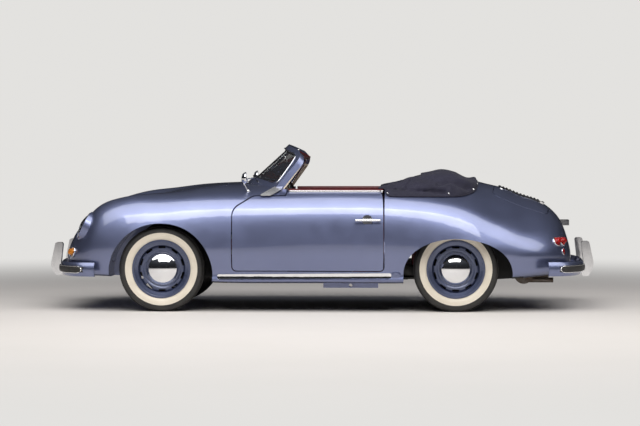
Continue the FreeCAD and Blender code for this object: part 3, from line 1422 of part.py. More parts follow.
def make_cowl_fittings():
    """The chrome feet of the windscreen pillars, the wipers, and the rod that carries the inside mirror."""
    foot = side_prism([(front_axle_x - back, height, pillar_foot_corner) for back, height in pillar_foot_outline],
                      ear_half_width - overrun, body_half_width)
    foot = foot.common(handle_form).cut([seat_form, screen_room])
    base = surface_point(screen_base_x, 0)
    lean = math.atan2(screen_rise, screen_run)
    up = Vector(-math.cos(lean), 0, math.sin(lean))
    out = Vector(math.sin(lean), 0, math.cos(lean))

    def on_screen(across, high, ahead):
        """A point before the bent screen, high along its lean above the base line and ahead of its front face."""
        sag = screen_bend_radius - math.sqrt(screen_bend_radius ** 2 - across ** 2)
        bow = screen_base_bow * (across / screen_base_half_width) ** 2
        return base + Vector(0, across, 0) + up * (high + bow) - out * (sag - ahead)

    wiper = []
    pivot = surface_point(screen_base_x + wiper_pivot_advance, wiper_pivot_spread)
    top = pivot + Vector(0, 0, wiper_pivot_rise)
    middle = on_screen(wiper_middle_spread, wiper_middle_rise, wiper_stand_off)
    inner = on_screen(wiper_inner_spread, wiper_inner_rise, wiper_stand_off)
    outer = on_screen(wiper_outer_spread, wiper_outer_rise, wiper_stand_off)
    wiper.append(rod(pivot - Vector(0, 0, wiper_pivot_rise), top, wiper_pivot_radius))
    for start, end in ((top, middle), (inner, middle), (middle, outer)):
        wiper.append(rod(start, end, wiper_arm_radius))
        wiper.append(Part.makeSphere(wiper_arm_radius, end))
    wiper = fused(wiper)
    wipers = [side.cut(seat_form) for side in both_sides(wiper)]
    low = on_screen(0, -mirror_rod_reach, -mirror_rod_inset)
    high = on_screen(0, screen_length - screen_frame_width / 2, -mirror_rod_inset)
    stem = rod(low, high, mirror_rod_radius).cut([seat_form, screen_pieces["windscreen_frame"]])
    stem = max(stem.Solids, key=lambda piece: piece.Volume)
    held = on_screen(0, screen_length * inside_mirror_share, -mirror_rod_inset)
    place = on_screen(0, screen_length * inside_mirror_share, -mirror_rod_inset - inside_mirror_arm)
    arm = rod(held, place, mirror_rod_radius)
    half = inside_mirror_length / 2
    glass = Part.makeBox(inside_mirror_thickness, inside_mirror_length, inside_mirror_height,
                         place - Vector(inside_mirror_thickness / 2, half, inside_mirror_height / 2))
    glass = glass.makeFillet(inside_mirror_thickness / 2, [e for e in glass.Edges if e.BoundBox.XLength > seat_gap])
    return {"pillar_feet": fused(both_sides(foot)), "wipers": fused(wipers),
            "inside_mirror": fused([stem, arm, glass])}


def make_controls():
    """Pedals standing on the floor and a gear lever on its tunnel."""
    pieces = []
    below = block(cabin_rear_x, cabin_front_x, -body_half_width, body_half_width, 0, floor_height)
    for k in range(pedal_count):
        y = pedal_spread + (k - 1) * pedal_pitch
        foot = Vector(cabin_front_x - pedal_gap_from_wall, y, floor_height - floor_thickness / 2)
        top = foot + Vector(-pedal_height * math.sin(pedal_lean), 0, pedal_height * math.cos(pedal_lean))
        pad = block(top.x - pedal_pad_thickness, top.x, y - pedal_pad_width / 2, y + pedal_pad_width / 2,
                    top.z - pedal_pad_width, top.z)
        pieces.append(fused([rod(foot, top, pedal_arm_radius), pad]).cut(below))
    foot = Vector(gear_lever_x, 0, floor_height + tunnel_rise)
    root = foot + Vector(0, 0, gear_lever_radius)
    knee = root + Vector(-gear_lever_lean, 0, gear_lever_height * 0.55)
    knob = knee + Vector(gear_lever_lean / 3, 0, gear_lever_height * 0.45)
    boot = Part.makeCone(gear_boot_radius, gear_lever_radius * 2, gear_boot_height, foot)
    pieces.append(fused([rod(root, knee, gear_lever_radius), rod(knee, knob, gear_lever_radius), boot,
                         Part.makeSphere(gear_lever_radius, knee), Part.makeSphere(gear_knob_radius, knob)]))
    return {"driver_controls": fused(pieces)}


def make_wheel(place, x, side, half_track):
    centre, axis, outward = Vector(x, side * half_track, tyre_radius), Vector(0, side, 0), Vector(0, 0, 1)
    half, height = tyre_width / 2, tyre_radius - rim_seat_radius
    outline = [(half * a, rim_seat_radius + height * r) for a, r in tyre_profile_shares]
    tyre = revolved(outline + [(-a, r) for a, r in outline[::-1]], centre, axis, outward)
    seat, flange = rim_seat_width / 2, rim_seat_width / 2 + rim_flange_thickness
    well = rim_seat_width / 4
    step = (rim_seat_radius - rim_well_radius) / 4
    rim = revolved([
        (flange, rim_flange_radius), (seat, rim_flange_radius), (seat, rim_seat_radius),
        (well + step, rim_seat_radius), (well, rim_well_radius), (-well, rim_well_radius),
        (-well - step, rim_seat_radius), (-seat, rim_seat_radius), (-seat, rim_flange_radius),
        (-flange, rim_flange_radius), (-flange, rim_seat_radius - rim_wall),
        (-well - step - rim_wall, rim_seat_radius - rim_wall), (-well - rim_wall, rim_well_radius - rim_wall),
        (well + rim_wall, rim_well_radius - rim_wall), (well + step + rim_wall, rim_seat_radius - rim_wall),
        (flange, rim_seat_radius - rim_wall)], centre, axis, outward)
    face = disc_inset
    edge = rim_well_radius - rim_wall / 2
    disc = revolved([
        (face - disc_thickness, 0), (face, 0), (face, cap_radius + cap_seat_width),
        (face + disc_bowl_depth / 3, cap_radius + 2 * cap_seat_width), (face + disc_bowl_depth / 3, slot_ring_radius),
        (face - disc_thickness, edge), (face - 2 * disc_thickness, edge),
        (face + disc_bowl_depth / 3 - disc_thickness, slot_ring_radius - disc_thickness / 2),
        (face - disc_thickness, cap_radius + cap_seat_width)], centre, axis, outward)
    drum = revolved([
        (face - disc_thickness, 0), (face - disc_thickness, drum_radius), (face - drum_depth, drum_radius),
        (face - drum_depth, drum_radius - rim_wall), (face - 2 * disc_thickness, drum_radius - rim_wall),
        (face - 2 * disc_thickness, hub_radius), (face - stub_reach, hub_radius), (face - stub_reach, 0)],
        centre, axis, outward)
    wheel = fused([rim, disc, drum])
    wheel = wheel.cut(rod(centre - axis * tyre_width, centre + axis * (face - disc_thickness), stub_radius))
    slots = []
    for k in range(slot_count):
        angle = 360.0 * k / slot_count
        slot = block(-slot_length / 2, slot_length / 2, -tyre_width / 2, tyre_width / 2,
                     slot_ring_radius - slot_width / 2, slot_ring_radius + slot_width / 2)
        slot = slot.rotate(Vector(0, 0, 0), Vector(0, 1, 0), angle)
        slots.append(slot.translate(centre + axis * face))
    wheel = wheel.cut(slots)
    dome_radius = (cap_radius ** 2 + cap_bulge ** 2) / (2 * cap_bulge)
    dome_centre = centre + axis * (face + cap_bulge - dome_radius)
    dome = Part.makeSphere(dome_radius, dome_centre).cut(Part.makeSphere(dome_radius - cap_wall, dome_centre))
    cap = dome.common(rod(centre + axis * face, centre + axis * (face + 2 * cap_bulge), 2 * cap_radius))
    return {place + "_tyre": tyre, place + "_wheel": wheel, place + "_hub_cap": cap}


nodes = dict(screen_pieces)
for piece in (make_body, make_floor, make_lids, make_doors, make_cowl_fittings, make_bumpers, make_lamps, make_seats,
              make_dashboard, make_controls, make_top_cover, make_sill_trims, make_drivetrain, make_front_axle,
              make_exhaust, make_mirrors):
    nodes.update(piece())
for end, x, track in (("front", front_axle_x, front_track), ("rear", rear_axle_x, rear_track)):
    nodes.update(make_wheel(end + "_left", x, 1, track / 2))
    nodes.update(make_wheel(end + "_right", x, -1, track / 2))

os.makedirs("parts", exist_ok=True)
for name, shape in nodes.items():
    shape.exportStep("parts/" + name + ".step")
    print(name, shape.isValid(), len(shape.Solids), round(shape.Volume / 1e6, 2))
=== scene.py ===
# %% [markdown]
# # A small convertible car of the 1950s
# The frame holds every solid of the car in one place: body, doors, lids, wheels and seats. This notebook
# gives each of them its real finish, and adds what sewing, rubber and fine chrome bring: tyres with white
# walls, a canvas cover over the folded top, pleated seats, instruments and trims. All sizes are in metres.

import math

import bmesh
import bpy
from mathutils import Matrix, Vector
from mathutils.bvhtree import BVHTree


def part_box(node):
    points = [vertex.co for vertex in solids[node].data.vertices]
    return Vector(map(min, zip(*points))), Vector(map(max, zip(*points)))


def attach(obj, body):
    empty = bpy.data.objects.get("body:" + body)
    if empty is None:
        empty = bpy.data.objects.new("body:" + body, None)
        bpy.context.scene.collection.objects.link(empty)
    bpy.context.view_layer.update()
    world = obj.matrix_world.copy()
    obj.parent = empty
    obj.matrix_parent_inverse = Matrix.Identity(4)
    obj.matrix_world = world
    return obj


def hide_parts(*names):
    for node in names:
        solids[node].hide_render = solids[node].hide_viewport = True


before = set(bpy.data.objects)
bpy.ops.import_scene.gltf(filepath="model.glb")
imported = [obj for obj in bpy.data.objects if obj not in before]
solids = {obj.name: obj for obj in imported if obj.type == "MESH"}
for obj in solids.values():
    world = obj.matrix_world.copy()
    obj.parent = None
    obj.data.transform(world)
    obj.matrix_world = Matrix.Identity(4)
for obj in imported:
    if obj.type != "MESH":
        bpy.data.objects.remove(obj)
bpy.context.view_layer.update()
scene = bpy.context.scene


def centre_of(node):
    low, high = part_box(node)
    return (low + high) / 2


front_hub = centre_of("front_left_tyre")
rear_hub = centre_of("rear_left_tyre")
tyre_radius = front_hub.z
wheel_names = ["front_left", "front_right", "rear_left", "rear_right"]
print("wheelbase", round(front_hub.x - rear_hub.x, 3), "tyre radius", round(tyre_radius, 3), "solids",
      len(solids))


def behind_front_axle(distance):
    """The x of a place measured back from the front axle, as on a body drawing."""
    return front_hub.x - distance


# %% [markdown]
# ## Finishes
# A finish is never one flat colour. Each one below starts from its main colour, lets a soft noise shift it
# a little, and gives roughness and relief their own noise. All patterns read object coordinates, and every
# object stays at the origin, so a pattern keeps its real size in metres on every piece.

# %% A helper for finishes
def wire(material, source, output, target, name):
    material.node_tree.links.new(source.outputs[output], target.inputs[name])


def add(material, kind, **values):
    node = material.node_tree.nodes.new(kind)
    for name, value in values.items():
        if hasattr(node, name):
            setattr(node, name, value)
        else:
            node.inputs[name.replace("_", " ")].default_value = value
    return node


def noise_of(material, place, scale, detail=3.0, roughness=0.5):
    node = add(material, "ShaderNodeTexNoise")
    node.inputs["Scale"].default_value = scale
    node.inputs["Detail"].default_value = detail
    node.inputs["Roughness"].default_value = roughness
    wire(material, place, "Object", node, "Vector")
    return node


def ranged(material, source, output, low, high, spread=(0.3, 0.7)):
    """A value turned from its middle range into low to high."""
    node = add(material, "ShaderNodeMapRange")
    node.inputs["From Min"].default_value, node.inputs["From Max"].default_value = spread
    node.inputs["To Min"].default_value, node.inputs["To Max"].default_value = low, high
    wire(material, source, output, node, "Value")
    return node


def tinted(material, factor, first, second):
    """Two colours mixed by a value."""
    node = add(material, "ShaderNodeMix", data_type="RGBA")
    node.inputs["A"].default_value = (*first, 1)
    node.inputs["B"].default_value = (*second, 1)
    colours = [s for s in node.inputs if s.name in ("A", "B") and s.type == "RGBA"]
    colours[0].default_value, colours[1].default_value = (*first, 1), (*second, 1)
    wire(material, factor, "Result", node, "Factor")
    return node


def colour_out(node):
    return [s for s in node.outputs if s.type == "RGBA"][0]


def make_finish(name, light, dark, roughness, metallic=0.0, coat=0.0, cloud=6.0, grain=400.0, depth=0.0002,
                sheen=0.0, transmission=0.0, ior=1.5, alpha=1.0):
    """A finish with two close colours in clouds, a range of roughness and a fine relief."""
    material = bpy.data.materials.new(name)
    material.use_nodes = True
    shader = material.node_tree.nodes["Principled BSDF"]
    place = add(material, "ShaderNodeTexCoord")
    clouds = noise_of(material, place, cloud, 4.0)
    shift = ranged(material, clouds, "Fac", 0.0, 1.0)
    mix = tinted(material, shift, light, dark)
    material.node_tree.links.new(colour_out(mix), shader.inputs["Base Color"])
    wear = noise_of(material, place, cloud * 4, 5.0, 0.6)
    rough = ranged(material, wear, "Fac", roughness[0], roughness[1])
    wire(material, rough, "Result", shader, "Roughness")
    relief = noise_of(material, place, grain, 2.0)
    bump = add(material, "ShaderNodeBump")
    bump.inputs["Distance"].default_value = depth
    bump.inputs["Strength"].default_value = 1.0
    wire(material, relief, "Fac", bump, "Height")
    wire(material, bump, "Normal", shader, "Normal")
    shader.inputs["Metallic"].default_value = metallic
    shader.inputs["Coat Weight"].default_value = coat
    shader.inputs["Coat Roughness"].default_value = 0.03
    shader.inputs["Sheen Weight"].default_value = sheen
    shader.inputs["Transmission Weight"].default_value = transmission
    shader.inputs["IOR"].default_value = ior
    shader.inputs["Alpha"].default_value = alpha
    return material


def height_of(material):
    """The bump node of a finish, for a relief of its own."""
    return next(n for n in material.node_tree.nodes if n.bl_idname == "ShaderNodeBump")


# %% [markdown]
# ### Paint and metal
# The body is a steel blue metallic lacquer: fine flakes under a clear coat. The flakes are a very fine
# noise in the relief, and the clear coat is the shader's own coat, which stays smooth over them. Chrome is
# a bright metal with faint polishing haze.

# %% Paint, chrome and bare metals
paint = make_finish("steel_blue_paint", (0.175, 0.203, 0.345), (0.162, 0.188, 0.325), (0.34, 0.42),
                    metallic=0.88, coat=1.0, cloud=1.5, grain=2600.0, depth=0.00002)
wheel_paint = make_finish("wheel_enamel", (0.085, 0.104, 0.185), (0.070, 0.086, 0.158), (0.26, 0.36),
                          metallic=0.55, coat=0.7, cloud=20.0, grain=900.0, depth=0.00003)
chrome = make_finish("chrome", (0.83, 0.84, 0.86), (0.76, 0.77, 0.79), (0.04, 0.11), metallic=1.0, cloud=14.0,
                     grain=120.0, depth=0.00001)
satin_chrome = make_finish("satin_chrome", (0.80, 0.80, 0.80), (0.72, 0.72, 0.72), (0.26, 0.36),
                           metallic=0.85, cloud=14.0, grain=200.0, depth=0.00002)
dull_steel = make_finish("steel", (0.33, 0.33, 0.33), (0.20, 0.19, 0.18), (0.35, 0.55), metallic=0.9,
                         cloud=40.0, grain=500.0, depth=0.0001)
cast_metal = make_finish("cast_metal", (0.30, 0.30, 0.29), (0.16, 0.155, 0.15), (0.5, 0.75), metallic=0.6,
                         cloud=18.0, grain=700.0, depth=0.0004)
underseal = make_finish("underseal", (0.020, 0.020, 0.021), (0.035, 0.033, 0.030), (0.6, 0.85), cloud=9.0,
                        grain=260.0, depth=0.0008)
satin_black = make_finish("satin_black", (0.012, 0.012, 0.013), (0.020, 0.020, 0.021), (0.28, 0.42),
                          cloud=30.0, grain=500.0, depth=0.00005)
gloss_black = make_finish("gloss_black", (0.010, 0.010, 0.011), (0.016, 0.016, 0.017), (0.12, 0.22), coat=0.5,
                          cloud=30.0, grain=300.0, depth=0.00002)
rusty_pipe = make_finish("exhaust_steel", (0.20, 0.18, 0.16), (0.11, 0.075, 0.05), (0.45, 0.7), metallic=0.7,
                         cloud=26.0, grain=420.0, depth=0.0003)

# %% [markdown]
# Inside the wheel arches the body is coated with black underseal, and the near-black there is also painted
# shade, for the wells lie in shade. Body and arch are one solid in the frame, so the paint itself changes
# there: where a surface near an axle runs across the car, or closes the well inside.

# %% Paint with dark wheel arches
arch_reach = 0.405
well_reach = 0.353
well_inner_wall = (0.400, 0.545)
axle_from_middle = 1.050
axle_height = 0.304


def number(material, operation, *values):
    """A math node fed by sockets or by fixed values."""
    node = add(material, "ShaderNodeMath", operation=operation)
    for socket, value in zip(node.inputs, values):
        if isinstance(value, float):
            socket.default_value = value
        else:
            material.node_tree.links.new(value, socket)
    return node.outputs["Value"]


def with_underseal_and_painted_shade_in_arches(base, name):
    material = base.copy()
    material.name = name
    tree = material.node_tree
    surface = add(material, "ShaderNodeNewGeometry")
    place = add(material, "ShaderNodeSeparateXYZ")
    facing = add(material, "ShaderNodeSeparateXYZ")
    wire(material, surface, "Position", place, "Vector")
    wire(material, surface, "True Normal", facing, "Vector")
    along = number(material, "SUBTRACT", number(material, "ABSOLUTE", place.outputs["X"]), axle_from_middle)
    above = number(material, "SUBTRACT", place.outputs["Z"], axle_height)
    away = number(material, "SQRT", number(material, "ADD", number(material, "MULTIPLY", along, along),
                                           number(material, "MULTIPLY", above, above)))
    out = number(material, "ABSOLUTE", place.outputs["Y"])
    across = number(material, "LESS_THAN", number(material, "ABSOLUTE", facing.outputs["Y"]), 0.45)
    past_wall = number(material, "GREATER_THAN", out, well_inner_wall[0])
    arch = number(material, "MULTIPLY", number(material, "LESS_THAN", away, arch_reach),
                  number(material, "MULTIPLY", across, past_wall))
    wall = number(material, "MULTIPLY", number(material, "LESS_THAN", away, well_reach),
                  number(material, "MULTIPLY", past_wall,
                         number(material, "LESS_THAN", out, well_inner_wall[1])))
    # Near-black underseal, which also paints the shade inside the wells.
    dark = add(material, "ShaderNodeBsdfPrincipled")
    dark.inputs["Base Color"].default_value = (0.016, 0.016, 0.017, 1)
    dark.inputs["Roughness"].default_value = 0.8
    blend = add(material, "ShaderNodeMixShader")
    tree.links.new(number(material, "MAXIMUM", arch, wall), blend.inputs[0])
    tree.links.new(tree.nodes["Principled BSDF"].outputs[0], blend.inputs[1])
    tree.links.new(dark.outputs[0], blend.inputs[2])
    tree.links.new(blend.outputs[0], tree.nodes["Material Output"].inputs["Surface"])
    return material


body_paint = with_underseal_and_painted_shade_in_arches(paint, "steel_blue_paint_with_underseal_and_painted_shade")

# %% [markdown]
# ### Rubber, glass, leather and canvas
# Rubber is nearly black with a dusty bloom. Glass is clear and thin. Leather has a pebble grain from small
# cells, and canvas a plain weave from two crossed bands, so both show a relief at their real scale of about
# a millimetre.

# %% Rubber and glass
rubber = make_finish("black_rubber", (0.016, 0.016, 0.017), (0.030, 0.029, 0.028), (0.50, 0.68), cloud=30.0,
                     grain=600.0, depth=0.0002)
tyre_rubber = make_finish("tyre_rubber", (0.017, 0.017, 0.018), (0.034, 0.032, 0.030), (0.52, 0.72),
                          cloud=14.0, grain=900.0, depth=0.00015)
white_rubber = make_finish("white_side_wall", (0.74, 0.68, 0.58), (0.66, 0.60, 0.50), (0.42, 0.55),
                           cloud=12.0, grain=700.0, depth=0.00008)
clear_glass = make_finish("clear_glass", (0.96, 0.98, 0.97), (0.93, 0.96, 0.95), (0.0, 0.02), cloud=5.0,
                          grain=40.0, depth=0.00001, transmission=1.0, ior=1.45)
amber_glass = make_finish("amber_glass", (0.95, 0.42, 0.06), (0.85, 0.32, 0.03), (0.05, 0.12), cloud=30.0,
                          grain=300.0, depth=0.0003, transmission=0.6)
red_glass = make_finish("red_glass", (0.62, 0.02, 0.02), (0.45, 0.01, 0.01), (0.05, 0.12), cloud=30.0,
                        grain=300.0, depth=0.0003, transmission=0.5)


def lamp_glass_finish():
    """Clear moulded glass whose upright ribs spread the light."""
    material = make_finish("ribbed_glass", (0.95, 0.97, 0.97), (0.90, 0.93, 0.94), (0.03, 0.08), cloud=20.0,
                           grain=200.0, depth=0.0012, transmission=1.0, ior=1.45)
    place = next(n for n in material.node_tree.nodes if n.bl_idname == "ShaderNodeTexCoord")
    ribs = add(material, "ShaderNodeTexWave", wave_type="BANDS", bands_direction="Y", wave_profile="SIN")
    ribs.inputs["Scale"].default_value = 32.0
    wire(material, place, "Object", ribs, "Vector")
    wire(material, ribs, "Fac", height_of(material), "Height")
    return material


ribbed_glass = lamp_glass_finish()


# %% Leather and canvas
def leather_finish(name, light, dark):
    """Leather with a pebble grain from small cells."""
    material = make_finish(name, light, dark, (0.34, 0.50), cloud=11.0, depth=0.00045)
    place = next(n for n in material.node_tree.nodes if n.bl_idname == "ShaderNodeTexCoord")
    cells = add(material, "ShaderNodeTexVoronoi", feature="F1")
    cells.inputs["Scale"].default_value = 520.0
    wire(material, place, "Object", cells, "Vector")
    wire(material, cells, "Distance", height_of(material), "Height")
    return material


def canvas_finish(name, light, dark, threads=700.0):
    """Canvas with a plain weave: two crossed bands of threads in the relief."""
    material = make_finish(name, light, dark, (0.72, 0.9), cloud=9.0, depth=0.0006, sheen=0.05)
    tree = material.node_tree
    place = next(n for n in tree.nodes if n.bl_idname == "ShaderNodeTexCoord")
    bands = []
    for direction in ("X", "Y"):
        band = add(material, "ShaderNodeTexWave", wave_type="BANDS", bands_direction=direction,
                   wave_profile="SIN")
        band.inputs["Scale"].default_value = threads / math.tau
        band.inputs["Distortion"].default_value = 0.6
        wire(material, place, "Object", band, "Vector")
        bands.append(band)
    weave = add(material, "ShaderNodeMath", operation="MULTIPLY")
    tree.links.new(bands[0].outputs["Fac"], weave.inputs[0])
    tree.links.new(bands[1].outputs["Fac"], weave.inputs[1])
    wire(material, weave, "Value", height_of(material), "Height")
    return material


red_leather = leather_finish("red_leather", (0.105, 0.005, 0.008), (0.066, 0.003, 0.005))
navy_canvas = canvas_finish("navy_canvas", (0.0095, 0.0088, 0.0290), (0.0062, 0.0058, 0.0195))
red_carpet = canvas_finish("red_carpet", (0.150, 0.012, 0.014), (0.095, 0.007, 0.009), threads=380.0)
lining = canvas_finish("beige_lining", (0.62, 0.54, 0.43), (0.54, 0.46, 0.36), threads=900.0)
print("finishes", len(bpy.data.materials))

# %% [markdown]
# ## The solids get their finish
# The painted panels, chrome and glass of the frame already have the right shape, so they stay and only change
# their finish. Tyres, seats and the top's cover are replaced further on.

# %% Finish of each solid
finish_of = {
    body_paint: ["front_body", "rear_body"],
    paint: ["sills", "front_lid", "engine_lid", "left_door", "right_door",
            "windscreen_frame", "front_bumper", "rear_bumper", "dashboard"],
    satin_chrome: ["pillar_feet"],
    chrome: ["engine_lid_grille", "front_lid_handle", "left_door_handle", "right_door_handle",
             "bumper_guards", "headlamps", "plate_lamp", "sill_trims", "side_mirrors", "wipers",
             "inside_mirror"],
    clear_glass: ["windscreen_glass"],
    ribbed_glass: ["headlamp_lenses"],
    amber_glass: ["turn_lamps"],
    red_glass: ["tail_lamps"],
    rubber: ["bumper_strips"],
    red_leather: ["left_door_card", "right_door_card", "left_seat", "right_seat", "rear_seat"],
    navy_canvas: ["top_cover"],
    underseal: ["floor_pan", "front_axle", "left_knuckle", "right_knuckle"],
    dull_steel: ["door_hinges", "seat_rails"],
    satin_black: ["steering_column", "driver_controls"],
    gloss_black: ["steering_wheel"],
    cast_metal: ["drivetrain"],
    rusty_pipe: ["exhaust"],
    tyre_rubber: [wheel + "_tyre" for wheel in wheel_names],
    wheel_paint: [wheel + "_wheel" for wheel in wheel_names],
}
finish_of[chrome] += [wheel + "_hub_cap" for wheel in wheel_names]
for finish, names in finish_of.items():
    for name in names:
        solids[name].data.materials.clear()
        solids[name].data.materials.append(finish)
print("solids without a finish:", sorted(set(solids) - {n for names in finish_of.values() for n in names}))

# %% [markdown]
# ## Building helpers
# Three ways of making a piece come up again and again: turning a profile about an axis, sweeping a section
# along a path, and rounding off a block. Each helper returns a finished object at the origin with its place
# in its mesh.

# %% Helpers for meshes
def piece(name, points, faces, finish, body="car", smooth=True):
    """A closed mesh with its normals outward, riding on a body later through settle()."""
    mesh = bpy.data.meshes.new(name)
    mesh.from_pydata([tuple(p) for p in points], [], faces)
    work = bmesh.new()
    work.from_mesh(mesh)
    bmesh.ops.remove_doubles(work, verts=work.verts, dist=0.00001)
    bmesh.ops.recalc_face_normals(work, faces=work.faces)
    for face in work.faces:
        face.smooth = smooth
    work.to_mesh(mesh)
    work.free()
    mesh.materials.append(finish)
    made = bpy.data.objects.new(name, mesh)
    scene.collection.objects.link(made)
    made["maker_body"] = body
    return made


def joined(name, parts):
    """Several objects made one mesh, in the order given."""
    work = bmesh.new()
    finishes = []
    for part in parts:
        first = len(work.faces)
        work.from_mesh(part.data)
        work.faces.ensure_lookup_table()
        for face in work.faces[first:]:
            finish = part.data.materials[face.material_index]
            if finish not in finishes:
                finishes.append(finish)
            face.material_index = finishes.index(finish)
    mesh = bpy.data.meshes.new(name)
    work.to_mesh(mesh)
    work.free()
    for finish in finishes:
        mesh.materials.append(finish)
    made = bpy.data.objects.new(name, mesh)
    scene.collection.objects.link(made)
    made["maker_body"] = parts[0]["maker_body"]
    for part in parts:
        bpy.data.objects.remove(part)
    return made


def lathe(name, profile, centre, axis, finish, body="car", steps=64):
    """A profile of (distance along the axis, radius) turned about the axis through centre."""
    axis = Vector(axis).normalized()
    side = axis.orthogonal().normalized()
    other = axis.cross(side)
    points, faces = [], []
    rows = len(profile)
    for k in range(steps):
        angle = math.tau * k / steps
        out = side * math.cos(angle) + other * math.sin(angle)
        points += [centre + axis * a + out * r for a, r in profile]
    for k in range(steps):
        here, following = k * rows, (k + 1) % steps * rows
        faces += [(here + i, here + i + 1, following + i + 1, following + i) for i in range(rows - 1)]
    return piece(name, points, faces, finish, body)


def sweep(name, path, frames, section, finish, body="car", closed=False):
    """A closed section of (across, up) carried along a path with (across, up) frames."""
    points, faces = [], []
    count = len(section)
    for place, (across, up) in zip(path, frames):
        points += [place + across * a + up * b for a, b in section]
    rows = len(path)
    for i in range(rows if closed else rows - 1):
        here, following = i * count, (i + 1) % rows * count
        faces += [(here + k, here + (k + 1) % count, following + (k + 1) % count, following + k)
                  for k in range(count)]
    if not closed:
        faces += [tuple(range(count))[::-1], tuple((rows - 1) * count + k for k in range(count))]
    return piece(name, points, faces, finish, body)


def bar(name, rows, finish, body="car"):
    """A closed bar whose sections are rows of points."""
    width = len(rows[0])
    faces = [(i * width + k, i * width + (k + 1) % width, (i + 1) * width + (k + 1) % width,
              (i + 1) * width + k)
             for i in range(len(rows) - 1) for k in range(width)]
    faces += [tuple(range(width)), tuple((len(rows) - 1) * width + k for k in range(width))[::-1]]
    return piece(name, [p for row in rows for p in row], faces, finish, body)


def round_section(radius, sides=12):
    return [(radius * math.cos(math.tau * k / sides), radius * math.sin(math.tau * k / sides))
            for k in range(sides)]


def rod(name, path, radius, finish, body="car", sides=12, closed=False):
    """A round bar along a path, with its own twist-free frames."""
    count = len(path)
    frames = []
    normal = (path[1] - path[0]).orthogonal().normalized()
    for i in range(count):
        before = path[i - 1] if closed or i else path[0]
        after = path[(i + 1) % count] if closed or i < count - 1 else path[-1]
        ahead = (after - before).normalized()
        normal = (normal - ahead * normal.dot(ahead)).normalized()
        frames.append((normal, ahead.cross(normal)))
    return sweep(name, path, frames, round_section(radius, sides), finish, body, closed)


def smooth_path(points, count):
    """A smooth curve through a few points, cut into count places."""
    points = [Vector(p) for p in points]
    ends = [points[0] * 2 - points[1]] + points + [points[-1] * 2 - points[-2]]
    spans = len(points) - 1
    made = []
    for k in range(count):
        at = spans * k / (count - 1)
        i = min(int(at), spans - 1)
        t = at - i
        a, b, c, d = ends[i:i + 4]
        made.append((b * 2 + (c - a) * t + (a * 2 - b * 5 + c * 4 - d) * t * t
                     + (b * 3 - a - c * 3 + d) * t ** 3) / 2)
    return made


def rounded_block(name, low, high, edge, finish, body="car", steps=3):
    """A block with rounded edges."""
    work = bmesh.new()
    bmesh.ops.create_cube(work, size=1.0)
    low, high = Vector(low), Vector(high)
    size = high - low
    for v in work.verts:
        v.co = Vector([low[i] + size[i] * (v.co[i] + 0.5) for i in range(3)])
    bmesh.ops.bevel(work, geom=work.edges[:], offset=edge, segments=steps, affect="EDGES", profile=0.5)
    points = [v.co.copy() for v in work.verts]
    faces = [tuple(v.index for v in f.verts) for f in work.faces]
    work.free()
    return piece(name, points, faces, finish, body)


def settle(made, body=None):
    """Hands a finished piece to its body."""
    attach(made, body or made["maker_body"])
    return made


def skin_of(*names):
    """A search tree over the outer faces of some solids."""
    points, faces = [], []
    for name in names:
        mesh = solids[name].data
        first = len(points)
        points += [v.co.copy() for v in mesh.vertices]
        faces += [tuple(first + i for i in p.vertices) for p in mesh.polygons]
    return BVHTree.FromPolygons(points, faces)


body_skin = skin_of("front_body", "rear_body", "left_door", "right_door", "front_lid", "engine_lid")
shoulder = body_skin.ray_cast(Vector((0, 0.72, 2)), Vector((0, 0, -1)))[0]
print("tallest skin over the driver's door:", round(shoulder.z, 3))

# %% [markdown]
# ## Tyres
# A cross-ply tyre of the time has a narrow tread with zigzag ribs, round shoulders and a broad white side
# wall. The casing is one profile turned about the hub, and the white wall is a band of its faces. The ribs
# repeat all the way round, so Geometry Nodes make them: a ring whose points swing from side to side carries
# a small section.

# %% The tyre casing
bead_radius = 0.2035
rib_height = 0.0045
white_wall_inner = 0.209
white_wall_outer = 0.2595
casing_half_shares = [
    (0.0620, bead_radius), (0.0655, 0.2085), (0.0695, 0.2150), (0.0745, 0.2260), (0.0780, 0.2400),
    (0.0788, 0.2520), (0.0789, 0.2590), (0.0797, 0.2603), (0.0795, 0.2630), (0.0785, 0.2650),
    (0.0770, 0.2740), (0.0740, 0.2830), (0.0700, 0.2895), (0.0640, 0.2945), (0.0560, 0.2975),
    (0.0450, 0.2990), (0.0200, 0.2995)]
casing_profile = [(-a, r) for a, r in casing_half_shares] + [(a, r) for a, r in casing_half_shares[::-1]]
casing_profile += [(0.0560, bead_radius - 0.0005), (-0.0560, bead_radius - 0.0005), casing_profile[0]]


def tyre_casing(wheel):
    hub = centre_of(wheel + "_tyre")
    outward = 1 if hub.y > 0 else -1
    made = lathe(wheel + "_casing", casing_profile, hub, (0, outward, 0), tyre_rubber, steps=128)
    made.data.materials.append(white_rubber)
    for face in made.data.polygons:
        middle = face.center - hub
        radius = math.hypot(middle.x, middle.z)
        if middle.y * outward > 0.06 and white_wall_inner < radius < white_wall_outer:
            face.material_index = 1
    return made


# %% [markdown]
# The tread's tree takes the number of swings, the rib's size and its place across the tread. The ring lies
# in the plane of the wheel, and each second point moves to one side and the others to the other side.

